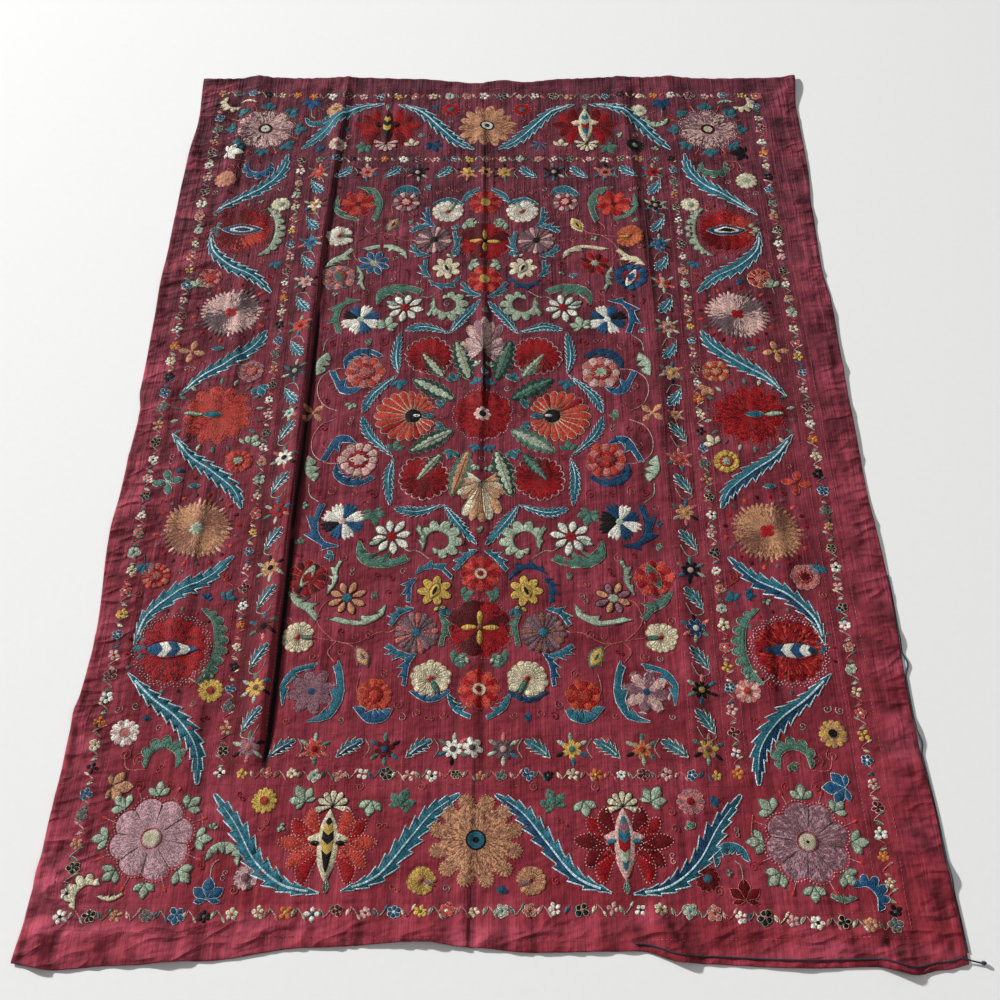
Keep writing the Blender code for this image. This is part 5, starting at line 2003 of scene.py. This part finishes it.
def foot_route():
    """Places and radius of the braid along the foot's hem, then past the corner to its knot."""
    line = np.arange(FOOT_BRAID[0], FOOT_BRAID[1], BRAID_STEP)
    x, y = outline(line, np.full_like(line, FOOT_LINE + HEM_WIDTH))
    height = cloth_height(x, y) + CLOTH_THICKNESS + BRAID_LIFT + BRAID_RADIUS
    surface = cloth_surface()
    for k in range(len(line)):
        top = height_on(surface, x[k] + DESIGN_X, y[k] + DESIGN_Y)
        if top is not None:
            height[k] = max(height[k], top + BRAID_RADIUS)
    height = np.convolve(np.pad(height, 4, "edge"), np.ones(9) / 9.0, "valid")
    hem = np.stack([x, y, height, np.full_like(x, BRAID_RADIUS)], axis=1)
    share = np.arange(BRAID_STEP, TAIL_LENGTH, BRAID_STEP) / TAIL_LENGTH
    x, y, height, _ = hem[-1]
    tail = np.stack([x + TAIL_LENGTH * share, y - TAIL_DRIFT * share,
                     height - (height - KNOT_RADIUS) * smooth(share),
                     BRAID_RADIUS * (1.0 + 0.2 * share)], axis=1)
    share = np.arange(0.1, 1.01, 0.1)
    x, y, height, _ = tail[-1]
    knot = np.stack([x + KNOT_LENGTH * share, np.full_like(share, y), np.full_like(share, height),
                     KNOT_RADIUS * np.sin(np.pi * (0.12 + 0.8 * share))], axis=1)
    return np.vstack([hem, tail, knot])


def plaited(context, name, node, route, material):
    """Strands twisted about a route of places and radii, as one piece for a node."""
    path, radius = route[:, :3], route[:, 3:]
    length = path_lengths(path)
    run = np.gradient(path, axis=0)
    run /= np.linalg.norm(run, axis=1, keepdims=True)
    across = np.cross(run, (0.0, 0.0, 1.0))
    across /= np.linalg.norm(across, axis=1, keepdims=True)
    upward = np.cross(across, run)
    points, faces, sides = [], [], 6
    for strand in range(STRANDS):
        turned = (length / BRAID_PITCH + strand / STRANDS)[:, None] * 2.0 * np.pi
        middle = path + radius * 0.48 * (across * np.cos(turned) + upward * np.sin(turned))
        first = len(points)
        for k in range(len(path)):
            for side in range(sides):
                angle = 2.0 * np.pi * side / sides
                spoke = across[k] * math.cos(angle) + upward[k] * math.sin(angle)
                points.append(middle[k] + radius[k] * 0.52 * spoke)
        rings = len(path)
        for k in range(rings - 1):
            for side in range(sides):
                a, b = first + k * sides + side, first + k * sides + (side + 1) % sides
                faces.append((a, b, b + sides, a + sides))
        faces.append(tuple(first + side for side in reversed(range(sides))))
        faces.append(tuple(first + (rings - 1) * sides + side for side in range(sides)))
    points = np.array(points) + (DESIGN_X, DESIGN_Y, 0.0)
    mesh = bpy.data.meshes.new(name)
    mesh.from_pydata(points.tolist(), [], faces)
    work = bmesh.new()
    work.from_mesh(mesh)
    bmesh.ops.recalc_face_normals(work, faces=work.faces)
    work.to_mesh(mesh)
    work.free()
    piece = new_piece(context, name, mesh, material)
    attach(piece, BODY)
    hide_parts(node)


class BEDSPREAD_OT_braid(bpy.types.Operator):
    """Lay the dark braid along the corner of the foot and the right-hand side"""

    bl_idname = "bedspread.braid"
    bl_label = "Lay the edging braid"

    def execute(self, context):
        material = braid_material(context)
        plaited(context, "side_braid", "edging_side", side_route(), material)
        plaited(context, "foot_braid", "edging_foot", foot_route(), material)
        return {"FINISHED"}


class BEDSPREAD_PT_panel(bpy.types.Panel):
    """Steps of making the bedspread, and its colours and sizes"""

    bl_label = "Bedspread"
    bl_idname = "BEDSPREAD_PT_panel"
    bl_space_type = "VIEW_3D"
    bl_region_type = "UI"
    bl_category = "Bedspread"

    def draw(self, context):
        layout = self.layout
        for step in OPERATORS:
            layout.operator(step.bl_idname)
        for group in ("bedspread_sizes", "bedspread_colours", "bedspread_threads"):
            settings = getattr(context.scene, group)
            for name in settings.bl_rna.properties.keys():
                if name not in ("rna_type", "name"):
                    layout.prop(settings, name)


# Camera of the photographed view
CAMERA_PLACE = Vector((0.0106, -1.697, 2.2714))
CAMERA_LENS = 43.2
CAMERA_DOWN = 57.1
CAMERA_TURN = 0.38
CAMERA_ROLL = -0.26

# Soft lights: name, place, size and power
STAGE_LIGHTS = (
    ("key", (-17.0, 9.6, 9.0), 1.6, 7600.0),
    ("fill", (3.0, -2.4, 5.0), 3.0, 40.0),
)
WORLD_STRENGTH = 0.24
FLOOR_SIZE = 14.0
FLOOR_PLACE = (0.0, 1.5, -0.0004)  # just under the cloth

OPERATORS = (
    BEDSPREAD_OT_stage, BEDSPREAD_OT_cloth, BEDSPREAD_OT_medallion, BEDSPREAD_OT_field,
    BEDSPREAD_OT_inner_border, BEDSPREAD_OT_main_border, BEDSPREAD_OT_outer_band,
    BEDSPREAD_OT_braid,
)
GROUPS = {
    "bedspread_threads": BEDSPREAD_PG_threads,
    "bedspread_colours": BEDSPREAD_PG_colours,
    "bedspread_sizes": BEDSPREAD_PG_sizes,
}


def register():
    """Adds the settings, the steps and the panel to Blender."""
    for name, group in GROUPS.items():
        bpy.utils.register_class(group)
        setattr(bpy.types.Scene, name, bpy.props.PointerProperty(type=group))
    for step in OPERATORS:
        bpy.utils.register_class(step)
    bpy.utils.register_class(BEDSPREAD_PT_panel)


def unregister():
    """Takes them out again."""
    bpy.utils.unregister_class(BEDSPREAD_PT_panel)
    for step in reversed(OPERATORS):
        bpy.utils.unregister_class(step)
    for name, group in GROUPS.items():
        delattr(bpy.types.Scene, name)
        bpy.utils.unregister_class(group)


def main():
    """Makes the whole bedspread, step by step."""
    register()
    silk_material(bpy.context)
    for step in OPERATORS:
        space, name = step.bl_idname.split(".")
        getattr(getattr(bpy.ops, space), name)()


if __name__ == "__main__":
    main()
